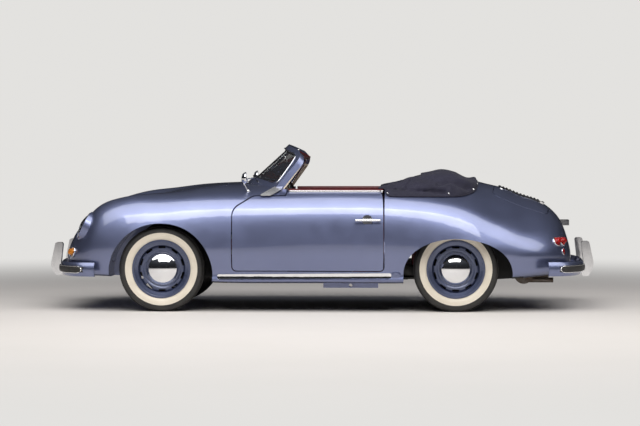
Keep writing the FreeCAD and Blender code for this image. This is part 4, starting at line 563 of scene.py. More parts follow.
# %% The zigzag ribs as a node tree
def rib_tree():
    tree = bpy.data.node_groups.new("zigzag_ribs", "GeometryNodeTree")
    face = tree.interface
    face.new_socket("Geometry", in_out="OUTPUT", socket_type="NodeSocketGeometry")
    wanted = {"Swings": ("NodeSocketInt", 70), "Radius": ("NodeSocketFloat", tyre_radius - rib_height / 2),
              "Swing": ("NodeSocketFloat", 0.0022), "Rib width": ("NodeSocketFloat", 0.0125),
              "Rib height": ("NodeSocketFloat", rib_height), "Ribs": ("NodeSocketInt", 5),
              "Rib pitch": ("NodeSocketFloat", 0.0205), "Finish": ("NodeSocketMaterial", tyre_rubber)}
    for name, (kind, value) in wanted.items():
        face.new_socket(name, in_out="INPUT", socket_type=kind).default_value = value
    make = tree.nodes.new
    given, result = make("NodeGroupInput"), make("NodeGroupOutput")

    def sum_node(operation, first, second):
        node = make("ShaderNodeMath")
        node.operation = operation
        for slot, value in enumerate((first, second)):
            if isinstance(value, (int, float)):
                node.inputs[slot].default_value = value
            else:
                tree.links.new(value, node.inputs[slot])
        return node.outputs[0]

    ring = make("GeometryNodeCurvePrimitiveCircle")
    tree.links.new(sum_node("MULTIPLY", given.outputs["Swings"], 2), ring.inputs["Resolution"])
    tree.links.new(given.outputs["Radius"], ring.inputs["Radius"])
    upright = make("GeometryNodeTransform")
    upright.inputs["Rotation"].default_value = (math.pi / 2, 0, 0)
    tree.links.new(ring.outputs["Curve"], upright.inputs["Geometry"])
    odd = sum_node("MODULO", make("GeometryNodeInputIndex").outputs[0], 2)
    side = sum_node("MULTIPLY", sum_node("SUBTRACT", sum_node("MULTIPLY", odd, 2), 1), given.outputs["Swing"])
    offset = make("ShaderNodeCombineXYZ")
    tree.links.new(side, offset.inputs["Y"])
    swung = make("GeometryNodeSetPosition")
    tree.links.new(upright.outputs["Geometry"], swung.inputs["Geometry"])
    tree.links.new(offset.outputs[0], swung.inputs["Offset"])
    section = make("GeometryNodeCurvePrimitiveQuadrilateral")
    tree.links.new(given.outputs["Rib height"], section.inputs["Width"])
    tree.links.new(given.outputs["Rib width"], section.inputs["Height"])
    rib = make("GeometryNodeCurveToMesh")
    tree.links.new(swung.outputs["Geometry"], rib.inputs["Curve"])
    tree.links.new(section.outputs["Curve"], rib.inputs["Profile Curve"])
    line = make("GeometryNodeMeshLine")
    tree.links.new(given.outputs["Ribs"], line.inputs["Count"])
    step = make("ShaderNodeCombineXYZ")
    tree.links.new(given.outputs["Rib pitch"], step.inputs["Y"])
    tree.links.new(step.outputs[0], line.inputs["Offset"])
    start = make("ShaderNodeCombineXYZ")
    spread = sum_node("MULTIPLY", sum_node("SUBTRACT", given.outputs["Ribs"], 1), given.outputs["Rib pitch"])
    tree.links.new(sum_node("MULTIPLY", spread, -0.5), start.inputs["Y"])
    tree.links.new(start.outputs[0], line.inputs["Start Location"])
    repeat = make("GeometryNodeInstanceOnPoints")
    tree.links.new(line.outputs["Mesh"], repeat.inputs["Points"])
    tree.links.new(rib.outputs["Mesh"], repeat.inputs["Instance"])
    real = make("GeometryNodeRealizeInstances")
    tree.links.new(repeat.outputs["Instances"], real.inputs["Geometry"])
    dressed = make("GeometryNodeSetMaterial")
    tree.links.new(real.outputs["Geometry"], dressed.inputs["Geometry"])
    tree.links.new(given.outputs["Finish"], dressed.inputs["Material"])
    tree.links.new(dressed.outputs["Geometry"], result.inputs["Geometry"])
    return tree


def grown(name, tree, values, body="car", place=Vector((0, 0, 0))):
    """The plain mesh that a node tree makes with these inputs, moved to its place."""
    carrier = bpy.data.objects.new(name + "_carrier", bpy.data.meshes.new(name + "_carrier"))
    scene.collection.objects.link(carrier)
    modifier = carrier.modifiers.new("tree", "NODES")
    modifier.node_group = tree
    for item in tree.interface.items_tree:
        if item.item_type == "SOCKET" and item.in_out == "INPUT" and item.name in values:
            modifier[item.identifier] = values[item.name]
    graph = bpy.context.evaluated_depsgraph_get()
    mesh = bpy.data.meshes.new_from_object(carrier.evaluated_get(graph))
    mesh.name = name
    bpy.data.objects.remove(carrier)
    mesh.transform(Matrix.Translation(place))
    made = bpy.data.objects.new(name, mesh)
    scene.collection.objects.link(made)
    made["maker_body"] = body
    return made


# %% Four tyres
ribs = rib_tree()
for wheel in wheel_names:
    hub = centre_of(wheel + "_tyre")
    tread = grown(wheel + "_tread", ribs, {"Swings": 70}, place=hub)
    casing = tyre_casing(wheel)
    tyre = joined(wheel + "_tyre_with_tread", [casing, tread])
    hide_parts(wheel + "_tyre")
    settle(tyre, wheel + "_wheel")
spread = [v.co - hub for v in tyre.data.vertices]
print("tyre faces", len(tyre.data.polygons), "radius", round(max(math.hypot(p.x, p.z) for p in spread), 4),
      "width", round(max(p.y for p in spread) - min(p.y for p in spread), 4))

# %% [markdown]
# ## The cover over the folded top
# On the car this is one cloth of navy canvas, cut to the horseshoe of the folded top and buttoned down on
# studs along its outer hem. Its shape is known and it hangs on nothing, so it isn't simulated: the cloth is
# laid on the frame's cover by dropping it from above, station by station round the horseshoe. The pull of
# the studs then gives its long tension folds, which are drawn where the photograph shows them.

# %% Where the cover runs
def fall_on(skin, x, y, default):
    """The height at which something dropped at a place lands on a skin."""
    hit = skin.ray_cast(Vector((x, y, 1.6)), Vector((0, 0, -1)))[0]
    return hit.z if hit else default


cover_skin = skin_of("top_cover")
cover_front = behind_front_axle(1.466)
outer_hem_shares = [(-0.420, 0.590), (-0.440, 0.604), (-0.460, 0.622), (-0.472, 0.655), (-0.480, 0.700),
                    (-0.500, 0.722), (-0.560, 0.722), (-0.620, 0.716), (-0.700, 0.706), (-0.780, 0.693),
                    (-0.860, 0.673), (-0.930, 0.647), (-0.995, 0.613), (-1.042, 0.568), (-1.085, 0.502),
                    (-1.118, 0.415), (-1.134, 0.300), (-1.136, 0.150), (-1.136, 0.0)]
inner_hem_shares = [(-0.420, 0.560), (-0.445, 0.520), (-0.500, 0.476), (-0.560, 0.467), (-0.610, 0.466),
                    (-0.640, 0.465), (-0.665, 0.460), (-0.685, 0.448), (-0.703, 0.428), (-0.716, 0.400),
                    (-0.722, 0.360), (-0.724, 0.310), (-0.724, 0.260), (-0.724, 0.210), (-0.724, 0.160),
                    (-0.724, 0.110), (-0.724, 0.060), (-0.724, 0.020), (-0.724, 0.0)]


def horseshoe(shares, count):
    """A curve round the tail: the left half as given, and its mirror image."""
    whole = [(x, y) for x, y in shares] + [(x, -y) for x, y in shares[-2::-1]]
    return smooth_path([(x, y, 0.0) for x, y in whole], count)


cover_stations = 221
cloth_lift = 0.0045
cover_rows = 44
outer_hem = horseshoe(outer_hem_shares, cover_stations)
inner_hem = horseshoe(inner_hem_shares, cover_stations)

# %% [markdown]
# Each station is a section from the outer hem up over the crown and down inside. Points are spread evenly
# along it, so that the weave isn't stretched where the side is steep.

# %% Sections of the cloth
def hem_height(x, y):
    """The height of the outer hem over the body."""
    ground = fall_on(body_skin, x, y, 0.0)
    if x > -0.62:
        return ground if ground > 0.70 else 0.872
    return min(ground, 0.840 + 0.10 * max(0.0, (0.60 - abs(y)) / 0.60))


def front_fall(x):
    """How much of its height the cover has near its front tips."""
    reach = max(0.0, min(1.0, (cover_front - x) / 0.150))
    return 0.08 + 0.92 * reach


def cover_height(x, y, base):
    """The top of the cover at a place. Ahead of the frame's cover it goes on as the foremost section."""
    solid_front = -0.520
    on_body = fall_on(body_skin, x, y, 0.0) + cloth_lift
    if x <= solid_front:
        return max(on_body, fall_on(cover_skin, x, y, base))
    if abs(y) > 0.60:
        return on_body
    here = max(abs(y), 0.4705)
    return max(on_body, fall_on(cover_skin, solid_front, math.copysign(here, y), base))


def cover_section(outer, inner):
    base = hem_height(outer.x, outer.y)
    fall = front_fall(outer.x)
    line = [Vector((outer.x, outer.y, base + cloth_lift))]
    for k in range(61):
        share = 0.5 - 0.5 * math.cos(math.pi * k / 60)
        x = outer.x + (inner.x - outer.x) * share
        y = outer.y + (inner.y - outer.y) * share
        high = max(base + cloth_lift, cover_height(x, y, base))
        low = max(base, fall_on(body_skin, x, y, 0.0)) + cloth_lift
        line.append(Vector((x, y, max(low, low + (high - low) * fall))))
    line.append(line[-1] + Vector((0, 0, -0.004 - 0.100 * fall)))
    lengths = [0.0]
    for a, b in zip(line, line[1:]):
        lengths.append(lengths[-1] + (b - a).length)
    row, at = [], 0
    for k in range(cover_rows):
        want = lengths[-1] * k / (cover_rows - 1)
        while at < len(lengths) - 2 and lengths[at + 1] < want:
            at += 1
        span = lengths[at + 1] - lengths[at]
        row.append(line[at].lerp(line[at + 1], (want - lengths[at]) / span if span else 0.0))
    return row


def relaxed(rows, rounds):
    """The net with each height drawn towards its neighbours along the horseshoe, as taut cloth evens out."""
    for _ in range(rounds):
        rows = [rows[0]] + [[Vector((p.x, p.y, p.z * 0.5 + (a.z + b.z) * 0.25)) for p, a, b in
                             zip(row, before, after)]
                            for before, row, after in zip(rows, rows[1:], rows[2:])] + [rows[-1]]
    return rows


def kept_off(rows):
    """The net lifted where it would touch the body."""
    return [[Vector((p.x, p.y, max(p.z, fall_on(body_skin, p.x, p.y, 0.0) + cloth_lift)))
             if k < cover_rows * 0.6 else p for k, p in enumerate(row)] for row in rows]


cloth_rows = kept_off(relaxed([cover_section(a, b) for a, b in zip(outer_hem, inner_hem)], 10))
print("cover stations", len(cloth_rows), "highest point",
      round(max(p.z for row in cloth_rows for p in row), 3))

# %% [markdown]
# Seen from the side, a broad ridge climbs from the front stud to the peak and comes down again to the rear
# stud. Under it the cloth is drawn in, in a long hollow above the hem and a second one below the peak.

# %% Tension folds
# Each fold is a chain of (x, z) places on the cover's side, its half width and its depth; a hollow is
# negative.
fold_shares = [
    ([(-0.470, 0.848), (-0.620, 0.872), (-0.820, 0.893), (-0.960, 0.930)], 0.019, 0.008),
    ([(-0.480, 0.838), (-0.640, 0.843), (-0.800, 0.856), (-0.900, 0.850)], 0.017, -0.022),
    ([(-0.835, 0.888), (-0.900, 0.868), (-0.927, 0.850)], 0.013, 0.011),
    ([(-0.850, 0.905), (-0.930, 0.930), (-0.985, 0.915), (-1.075, 0.872)], 0.018, -0.023),
    ([(-0.930, 0.978), (-1.010, 0.950), (-1.095, 0.905)], 0.018, 0.008),
    ([(-0.560, 0.915), (-0.720, 0.945), (-0.870, 0.958)], 0.016, -0.007),
    ([(-1.000, 0.968), (-1.060, 0.948), (-1.115, 0.938)], 0.014, -0.008)]


def distance_to(chain, x, z):
    best = 9.0
    for (x0, z0), (x1, z1) in zip(chain, chain[1:]):
        run = Vector((x1 - x0, z1 - z0))
        t = max(0.0, min(1.0, Vector((x - x0, z - z0)).dot(run) / run.length_squared))
        best = min(best, math.hypot(x - x0 - run.x * t, z - z0 - run.y * t))
    return best


def drawn_in(row, outer):
    """The same section with its folds, strongest half way up the outer side."""
    made = []
    for k, point in enumerate(row):
        share = k / (len(row) - 1)
        ahead = row[min(k + 1, len(row) - 1)] - row[max(k - 1, 0)]
        around = Vector((-outer.y, outer.x + 0.72, 0)).normalized()
        out = ahead.cross(around).normalized()
        if out.z < -0.2:
            out = -out
        grip = min(1.0, share * 14) * max(0.0, min(1.0, (0.62 - share) * 6))
        push = sum(depth * math.exp(-(distance_to(chain, point.x, point.z) / width) ** 2)
                   for chain, width, depth in fold_shares) if grip else 0.0
        waves = 0.0018 * math.sin(point.x * 38 + point.z * 21) * math.sin(point.y * 17 + point.x * 9)
        made.append(point + out * (push * grip + waves * min(1.0, share * 10, (1 - share) * 10)))
    return made


cloth_rows = kept_off([drawn_in(row, hem) for row, hem in zip(cloth_rows, outer_hem)])


def cloth_mesh(name, rows, thick, finish):
    """A cloth of even thickness under a net of points."""
    width = len(rows[0])
    mesh = bpy.data.meshes.new(name)
    faces = [(i * width + k, i * width + k + 1, (i + 1) * width + k + 1, (i + 1) * width + k)
             for i in range(len(rows) - 1) for k in range(width - 1)]
    mesh.from_pydata([tuple(p) for row in rows for p in row], [], faces)
    made = bpy.data.objects.new(name, mesh)
    scene.collection.objects.link(made)
    work = bmesh.new()
    work.from_mesh(mesh)
    bmesh.ops.recalc_face_normals(work, faces=work.faces)
    for face in work.faces:
        face.smooth = True
    highest = max(work.faces, key=lambda f: f.calc_center_median().z)
    if highest.normal.z < 0:
        bmesh.ops.reverse_faces(work, faces=work.faces)
    work.to_mesh(mesh)
    work.free()
    mesh.materials.append(finish)
    shell = made.modifiers.new("thickness", "SOLIDIFY")
    shell.thickness = thick
    shell.offset = -1
    graph = bpy.context.evaluated_depsgraph_get()
    solid = bpy.data.meshes.new_from_object(made.evaluated_get(graph))
    solid.name = name
    made.modifiers.clear()
    made.data = solid
    made["maker_body"] = "car"
    return made


cloth_thickness = 0.0022
cover = cloth_mesh("boot_cover", cloth_rows, cloth_thickness, navy_canvas)
hem_path = [row[0] + Vector((0, 0, cloth_thickness)) for row in cloth_rows]
boot_cover_hem_radius = 0.0048
hem = rod("boot_cover_hem", hem_path, boot_cover_hem_radius, navy_canvas, sides=10)
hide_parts("top_cover")
settle(cover)
settle(hem)

# %% [markdown]
# The studs are small domed buttons of chromed brass on a washer, pressed into the hem.

# %% Studs of the cover
stud_profile = [(-0.002, 0.0), (-0.002, 0.0085), (0.0, 0.0090), (0.0014, 0.0082), (0.0022, 0.0066),
                (0.0040, 0.0060), (0.0062, 0.0046), (0.0074, 0.0024), (0.0078, 0.0)]
stud_places = [(-0.466, 0.842), (-0.928, 0.842), (-1.108, 0.868), (-1.1345, 0.908)]


def stud(name, x, z, side):
    """A stud on the cloth's outer face, near a height and a place along the car."""
    nearest = min(((row, k) for row in cloth_rows for k in range(1, 14) if row[0].y * side >= 0),
                  key=lambda pick: math.hypot(pick[0][pick[1]].x - x, (pick[0][pick[1]].z - z) * 2))
    row, k = nearest
    station = cloth_rows.index(row)
    around = cloth_rows[min(station + 1, cover_stations - 1)][k] - cloth_rows[max(station - 1, 0)][k]
    out = (row[k + 1] - row[k - 1]).cross(around).normalized()
    if out.dot(Vector((row[k].x + 0.72, row[k].y, 0.15))) < 0:
        out = -out
    return lathe(name, stud_profile, row[k], out, chrome, steps=20)


studs = [stud("cover_stud", x, z, side) for x, z in stud_places for side in (1, -1)]
settle(joined("cover_studs", studs))

# %% [markdown]
# ## Seats
# Each seat is a low cushion and a leaning backrest of red leather over springs and horsehair. The middle is
# sewn in pleats that run fore and aft, inside a plain border, with a line of piping round the edge. The
# outline is a rounded square, the edge rolls over to the seam, and each pleat swells between its stitches.

# %% A pleated pad
def pad_height(ring, along_v, pleats, border, thick):
    """Height of a pad over its middle plane at a share from centre to rim."""
    dome = (1 - ring ** 6) ** 0.5
    crown = 0.16 * (1 - ring * ring)
    inside = ring / border
    swell = 0.0
    if inside < 1 and pleats:
        fade = min(1.0, (1 - inside) * 9)
        swell = 0.13 * (abs(math.sin(math.pi * pleats * (along_v / border + 1) / 2)) ** 0.6 - 1) * fade
    seam = -0.22 * math.exp(-((ring - border) / 0.022) ** 2) if pleats else 0.0
    return thick / 2 * (0.84 * dome + crown + swell + seam)


def pad(name, size, thick, pleats, place, finish, border=0.80, nets=(64, 84), roundness=5.0, flat_back=0.5):
    """A padded pad in its own plane: length by width, pleats along its length, set in place by a matrix."""
    length, width = size
    rows, columns = nets
    points, faces = [], []
    for side in (1, -1):
        for i in range(rows + 1):
            for j in range(columns + 1):
                u = -math.cos(math.pi * i / rows)
                v = -math.cos(math.pi * j / columns) * 0.5 + (2 * j / columns - 1) * 0.5
                reach = (abs(u) ** roundness + abs(v) ** roundness) ** (1 / roundness)
                ring = max(abs(u), abs(v))
                shrink = ring / reach if reach else 1.0
                high = pad_height(ring, v, pleats, border, thick) if side > 0 else -flat_back * thick * (
                    1 - ring ** 8) ** 0.5
                points.append(place @ Vector((length / 2 * u * shrink, width / 2 * v * shrink, high)))
    sheet = (rows + 1) * (columns + 1)
    for side in (0, 1):
        for i in range(rows):
            for j in range(columns):
                a = side * sheet + i * (columns + 1) + j
                faces.append((a, a + 1, a + columns + 2, a + columns + 1))
    return piece(name, points, faces, finish)


def pad_edge(size, place, roundness=5.0, lift=0.0, count=120, shrink=1.0):
    """The rounded outline of a pad, for its piping."""
    made = []
    for k in range(count):
        angle = math.tau * k / count
        c, s = math.cos(angle), math.sin(angle)
        reach = (abs(c) ** roundness + abs(s) ** roundness) ** (1 / roundness)
        made.append(place @ Vector((size[0] / 2 * c / reach * shrink, size[1] / 2 * s / reach * shrink,
                                    lift)))
    return made


# %% [markdown]
# The backrest stands on the cushion's rear edge and leans back like the frame's backrest. Its rear is a plain
# leather panel. A chromed joint with a short lever shows on each side of the seat.

# %% Two front seats
seat_back_lean = math.radians(18)
seat_cushion_tilt = math.radians(-4)
seat_gap = 0.012
seat_pleats = 9
cushion_length = 0.500
cushion_thickness = 0.140
cushion_height = 0.350
cushion_seam = 0.010
back_length = 0.520
back_thickness = 0.105
back_seat_height = 0.360
back_behind_foot = 0.048
piping_radius = 0.0042


def front_seat(side):
    low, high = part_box(side + "_seat")
    middle_y = (low.y + high.y) / 2
    width = high.y - low.y - seat_gap
    back_foot = behind_front_axle(1.358)
    seat_place = (Matrix.Translation((back_foot + cushion_length / 2 - 0.006, middle_y, cushion_height))
                  @ Matrix.Rotation(seat_cushion_tilt, 4, "Y"))
    cushion_size = (cushion_length - cushion_seam, width)
    cushion = pad(side + "_seat_cushion", cushion_size, cushion_thickness, seat_pleats, seat_place,
                  red_leather)
    cushion_rim = rod(side + "_cushion_piping", pad_edge(cushion_size, seat_place, lift=0.012),
                      piping_radius, red_leather, closed=True)
    upward = Vector((-math.sin(seat_back_lean), 0, math.cos(seat_back_lean)))
    forward = Vector((math.cos(seat_back_lean), 0, math.sin(seat_back_lean)))
    middle = Vector((back_foot - back_behind_foot, middle_y, back_seat_height)) + upward * back_length / 2
    turn = Matrix((upward, Vector((0, 1, 0)), forward)).transposed().to_4x4()
    back_place = Matrix.Translation(middle) @ turn
    back_size = (back_length, width)
    backrest = pad(side + "_seat_backrest", back_size, back_thickness, seat_pleats, back_place, red_leather,
                   flat_back=0.42)
    back_rim = rod(side + "_backrest_piping", pad_edge(back_size, back_place, lift=0.008),
                   piping_radius, red_leather, closed=True)
    seat_base_rounding = 0.012
    base = rounded_block(side + "_seat_base", (back_foot + 0.004, low.y + 0.02, 0.274),
            (back_foot + cushion_length - 0.024, high.y - 0.02, 0.318), seat_base_rounding, satin_black)
    joints = []
    for end in (1, -1):
        at = Vector((back_foot - 0.010, middle_y + end * (width / 2 - 0.004), 0.372))
        joint_profile = [(-0.010, 0.0), (-0.010, 0.022), (0.004, 0.024), (0.007, 0.021), (0.009, 0.010),
                         (0.012, 0.008), (0.013, 0.0)]
        joints.append(lathe("joint", joint_profile, at, (0, end, 0), chrome, steps=32))
        lever = smooth_path([at + Vector((0, end * 0.006, 0)), at + Vector((0.030, end * 0.008, 0.006)),
                             at + Vector((0.075, end * 0.008, 0.004))], 14)
        lever_radius = 0.0042
        joints.append(rod("lever", lever, lever_radius, chrome))
    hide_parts(side + "_seat")
    for made in (cushion, cushion_rim, backrest, back_rim, base, joined(side + "_seat_joints", joints)):
        settle(made)


for side in ("left", "right"):
    front_seat(side)

# %% [markdown]
# Behind them is a narrow bench on each side of the tunnel, with thin pads on the seat and on the wall
# behind it. Its box is black, for its side shows through the wheel arch.

# %% Rear bench
bench_low, bench_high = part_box("rear_seat")
bench_pads = []
bench_inner, bench_outer = 0.080, 0.516
bench_pad_inner, bench_pad_outer = 0.086, 0.512
bench_cushion_thickness, bench_backrest_thickness = 0.090, 0.070
bench_box_rounding, bench_wall_rounding = 0.010, 0.012
for side in (1, -1):
    centre_y = side * (bench_pad_inner + bench_pad_outer) / 2
    seat_part = Matrix.Translation(((bench_high.x + bench_low.x) / 2 + 0.045, centre_y, 0.350))
    wall_part = (Matrix.Translation((bench_low.x + 0.050, centre_y, 0.545))
                 @ Matrix.Rotation(math.radians(-80), 4, "Y"))
    bench_pads.append(pad("bench_cushion", (0.150, 0.425), bench_cushion_thickness, 8, seat_part,
                          red_leather, nets=(40, 84)))
    bench_pads.append(pad("bench_backrest", (0.300, 0.425), bench_backrest_thickness, 8, wall_part,
                          red_leather, nets=(48, 84)))
    body = rounded_block("bench_box", (bench_low.x + 0.003, min(side * bench_inner, side * bench_outer),
                                       0.242),
            (bench_high.x - 0.006, max(side * bench_inner, side * bench_outer), 0.330), bench_box_rounding,
            satin_black)
    wall = rounded_block("bench_wall", (bench_low.x + 0.002, min(side * bench_inner, side * bench_outer),
                                        0.330),
            (bench_low.x + 0.035, max(side * bench_inner, side * bench_outer), 0.696), bench_wall_rounding,
            red_leather)
    bench_pads += [body, wall]
rear_bench = joined("rear_bench", bench_pads)
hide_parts("rear_seat")
settle(rear_bench)
print("bench", [round(v, 3) for v in bench_low], [round(v, 3) for v in bench_high])

# %% [markdown]
# ## Doors
# The top of each door carries a padded red capping with a chrome strip under its outer edge. Both follow
# the door's own top, which curves in towards its front. Inside are a card with a sewn pocket, an armrest, a
# window winder and a lock lever. Everything here rides on its door.

# %% Cappings of the doors
door_top = 0.850
capping_front = behind_front_axle(0.905)
capping_rear = behind_front_axle(1.580)


def side_skin(skin, x, z, side, from_outside):
    """The y at which a level ray meets a skin from outside or from inside."""
    start = Vector((x, side * (1.2 if from_outside else 0.30), z))
    hit = skin.ray_cast(start, Vector((0, -side if from_outside else side, 0)))[0]
    return hit.y if hit else None


def door_capping(side_name, side):
    skin = skin_of(side_name + "_door")
    body = side_name + "_door"
    count = 40
    outer, inner = [], []
    for k in range(count):
        x = capping_front + (capping_rear - capping_front) * k / (count - 1)
        out_y = side_skin(skin, x, door_top - 0.004, side, True) or side * 0.74
        in_y = side_skin(skin, x, door_top - 0.004, side, False) or side * 0.64
        outer.append(Vector((x, out_y, door_top)))
        inner.append(Vector((x, in_y, door_top)))
    level = Vector((0, 0, 1))
    strip_section = [(-0.0045, -0.0002), (0.0030, -0.0002), (0.0045, 0.0035), (0.0045, 0.0105),
                     (0.0030, 0.0140), (-0.0035, 0.0140), (-0.0045, 0.0120)]
    strip_path = [p + Vector((0, -side * 0.012, 0.0004)) for p in outer]
    frames = [(Vector((0, side, 0)), level) for _ in strip_path]
    strip = sweep(side_name + "_door_top_strip", strip_path, frames, strip_section, chrome, body)
    rows = []
    across = 16
    for p, q in zip(outer, inner):
        reach = abs(q.y - p.y) - 0.022
        row = []
        for k in range(across):
            angle = math.pi * k / (across - 1)
            share = 0.5 - 0.5 * math.cos(angle)
            high = 0.0125 + 0.0135 * math.sin(angle) ** 0.45
            row.append(Vector((p.x, p.y - side * (0.014 + reach * share), door_top + high)))
        row.append(Vector((p.x, p.y - side * (0.016 + reach), door_top + 0.0012)))
        row.append(Vector((p.x, p.y - side * 0.018, door_top + 0.0012)))
        rows.append(row)
    roll = bar(side_name + "_door_capping", rows, red_leather, body)
    settle(strip)
    settle(roll)


for side_name, side in (("left", 1), ("right", -1)):
    door_capping(side_name, side)


# %% Fittings inside the doors
def crank(name, at, side, body):
    """A window winder: a boss, a flat arm and a small knob."""
    inward = Vector((0, -side, 0))
    boss_profile = [(0.0, 0.0), (0.0, 0.021), (0.006, 0.020), (0.010, 0.013), (0.013, 0.010), (0.014, 0.0)]
    boss = lathe("boss", boss_profile, at, inward, chrome, body, 32)
    arm_radius = 0.0044
    arm = rod("arm", smooth_path([at + inward * 0.011, at + inward * 0.016 + Vector((-0.035, 0, -0.006)),
            at + inward * 0.018 + Vector((-0.078, 0, -0.014))], 12), arm_radius, chrome, body)
    knob_at = at + inward * 0.018 + Vector((-0.080, 0, -0.014))
    knob_profile = [(0.0, 0.0), (0.0, 0.006), (0.006, 0.010), (0.014, 0.011), (0.022, 0.009), (0.026, 0.0)]
    knob = lathe("knob", knob_profile, knob_at, inward, gloss_black, body, 28)
    return joined(name, [boss, arm, knob])


def door_fittings(side_name, side):
    body = side_name + "_door"
    card_skin = skin_of(side_name + "_door_card")
    face_y = side_skin(card_skin, 0.10, 0.60, side, False)
    inner_y = face_y - side * 0.0012
    print(side_name, "card face", round(face_y, 4))
    winder = crank(side_name + "_window_winder", Vector((0.165, inner_y, 0.600)), side, body)
    lever_at = Vector((-0.120, inner_y, 0.655))
    plate_profile = [(0.0, 0.0), (0.0, 0.020), (0.003, 0.0195), (0.006, 0.016), (0.007, 0.0)]
    plate = lathe("plate", plate_profile, lever_at, (0, -side, 0), chrome, body, 32)
    lever_radius = 0.0046
    lever = rod("lever", smooth_path([lever_at + Vector((0, -side * 0.006, 0)),
            lever_at + Vector((0.020, -side * 0.016, 0.001)),
            lever_at + Vector((0.080, -side * 0.018, 0.004))], 14), lever_radius, chrome, body)
    latch = joined(side_name + "_lock_lever", [plate, lever])
    rest_path = smooth_path([(0.060, inner_y - side * 0.006, 0.545), (0.040, inner_y - side * 0.036, 0.553),
                             (-0.060, inner_y - side * 0.044, 0.560), (-0.170, inner_y - side * 0.036, 0.556),
                             (-0.190, inner_y - side * 0.006, 0.548)], 40)
    armrest_radius = 0.0155
    rest = rod(side_name + "_armrest", rest_path, armrest_radius, red_leather, body, sides=20)
    pocket_top, pocket_low = 0.480, 0.345
    points = []
    rows, columns = 14, 40
    for i in range(rows):
        for j in range(columns):
            t, s = i / (rows - 1), j / (columns - 1)
            bulge = 0.026 * (math.sin(math.pi * s) ** 0.5) * (t ** 0.7) + 0.0015
            gather = 0.0016 * math.sin(s * 46) * t
            points.append(Vector((0.330 - 0.560 * s, inner_y - side * (bulge + gather),
                                  pocket_low + (pocket_top - pocket_low) * t)))
    pocket_rows = [[points[i * columns + j] for i in range(rows)] for j in range(columns)]
    door_pocket_thickness = 0.0020
    pocket = cloth_mesh(side_name + "_door_pocket", pocket_rows, door_pocket_thickness, red_leather)
    hem_line = [row[-1] for row in pocket_rows]
    band = rod(side_name + "_pocket_hem", hem_line, piping_radius, red_leather, body)
    seams = []
    for height in (0.520, 0.700):
        line = [Vector((0.560 - 0.970 * k / 30, inner_y, height)) for k in range(31)]
        seam_radius = 0.0026
        seams.append(rod("seam", line, seam_radius, red_leather, body, sides=8))
    for made in (winder, latch, rest, band, joined(side_name + "_card_seams", seams)):
        settle(made)
    settle(pocket, body)


for side_name, side in (("left", 1), ("right", -1)):
    door_fittings(side_name, side)

# %% [markdown]
# ## Windscreen
# The windscreen is one bent slab that leans back. A rubber seal holds the glass in its painted frame, a
# bright moulding runs round the opening inside and out, and the header behind the top bar is lined in red.

# %% The bent slab as the frame has it
screen_run, screen_rise, screen_length = 0.289, 0.263, 0.412
screen_bend = 1.033
screen_top_half, screen_base_half = 0.520, 0.615
screen_top_bow, screen_base_bow = 0.052, 0.110
screen_sill, screen_border, screen_corner = 0.022, 0.046, 0.088
screen_lean = math.atan2(screen_rise, screen_run)
screen_up = Vector((-math.cos(screen_lean), 0, math.sin(screen_lean)))
screen_out = Vector((math.sin(screen_lean), 0, math.cos(screen_lean)))
screen_foot_x = behind_front_axle(0.571)
screen_foot = Vector((screen_foot_x, 0, fall_on(body_skin, screen_foot_x, 0.0, 0.90)))
screen_middle = screen_foot + screen_up * (screen_length / 2)


def on_screen(across, high, depth):
    """A place on the slab: across from the middle, up along the lean, and behind its front face."""
    bend = screen_bend - depth
    drop = math.sqrt(bend * bend - across * across) - screen_bend
    return screen_middle + screen_up * high + Vector((0, across, 0)) + screen_out * drop


def screen_outline(inset, corner):
    """The opening's outline as (across, up) places, from the left foot over the top to the right foot."""
    top_half, base_half = screen_top_half - inset, screen_base_half - inset
    top_mid, top_end = screen_length / 2 - inset, screen_length / 2 + screen_top_bow - inset
    base_mid = -screen_length / 2 + inset + screen_sill
    base_end = base_mid + screen_base_bow
    side_dir = Vector((top_half - base_half, top_end - base_end)).normalized()
    bow = top_end - top_mid
    radius = (top_half ** 2 + bow ** 2) / (2 * bow)

    def top_at(across):
        return top_mid + radius - math.sqrt(radius ** 2 - across ** 2)

    base_bow_radius = (base_half ** 2 + screen_base_bow ** 2) / (2 * screen_base_bow)

    def base_at(across):
        return base_mid + base_bow_radius - math.sqrt(base_bow_radius ** 2 - across ** 2)

    first = [Vector((base_half, base_end)) + side_dir * corner * 0.9]
    low = [(a, base_at(a)) for a in [(base_half - corner * 0.75) * (1 - k / 20) for k in range(21)]]
    upper = [(a, top_at(a)) for a in [(top_half - corner * 0.85) * (1 - k / 20) for k in range(21)]]
    side_top = Vector((top_half, top_end)) - side_dir * corner * 0.9
    turn_low = [low[0], (base_half - 0.012, base_end + 0.010), tuple(first[0])]
    turn_top = [tuple(side_top), (top_half - corner * 0.16, top_end - corner * 0.20), upper[0]]
    corner_low = [(p.x, p.y) for p in smooth_path([(a, b, 0) for a, b in turn_low], 9)]
    corner_top = [(p.x, p.y) for p in smooth_path([(a, b, 0) for a, b in turn_top], 9)]
    half = low[::-1] + corner_low[1:] + corner_top + upper[1:]
    return half + [(-a, b) for a, b in half[-2:0:-1]]


def screen_ring(name, inset, depth, radius, finish, corner=None, sides=10):
    rounding = corner or screen_corner - screen_border / 2
    path = [on_screen(a, b, depth) for a, b in screen_outline(inset, rounding)]
    return rod(name, path, radius, finish, sides=sides, closed=True)


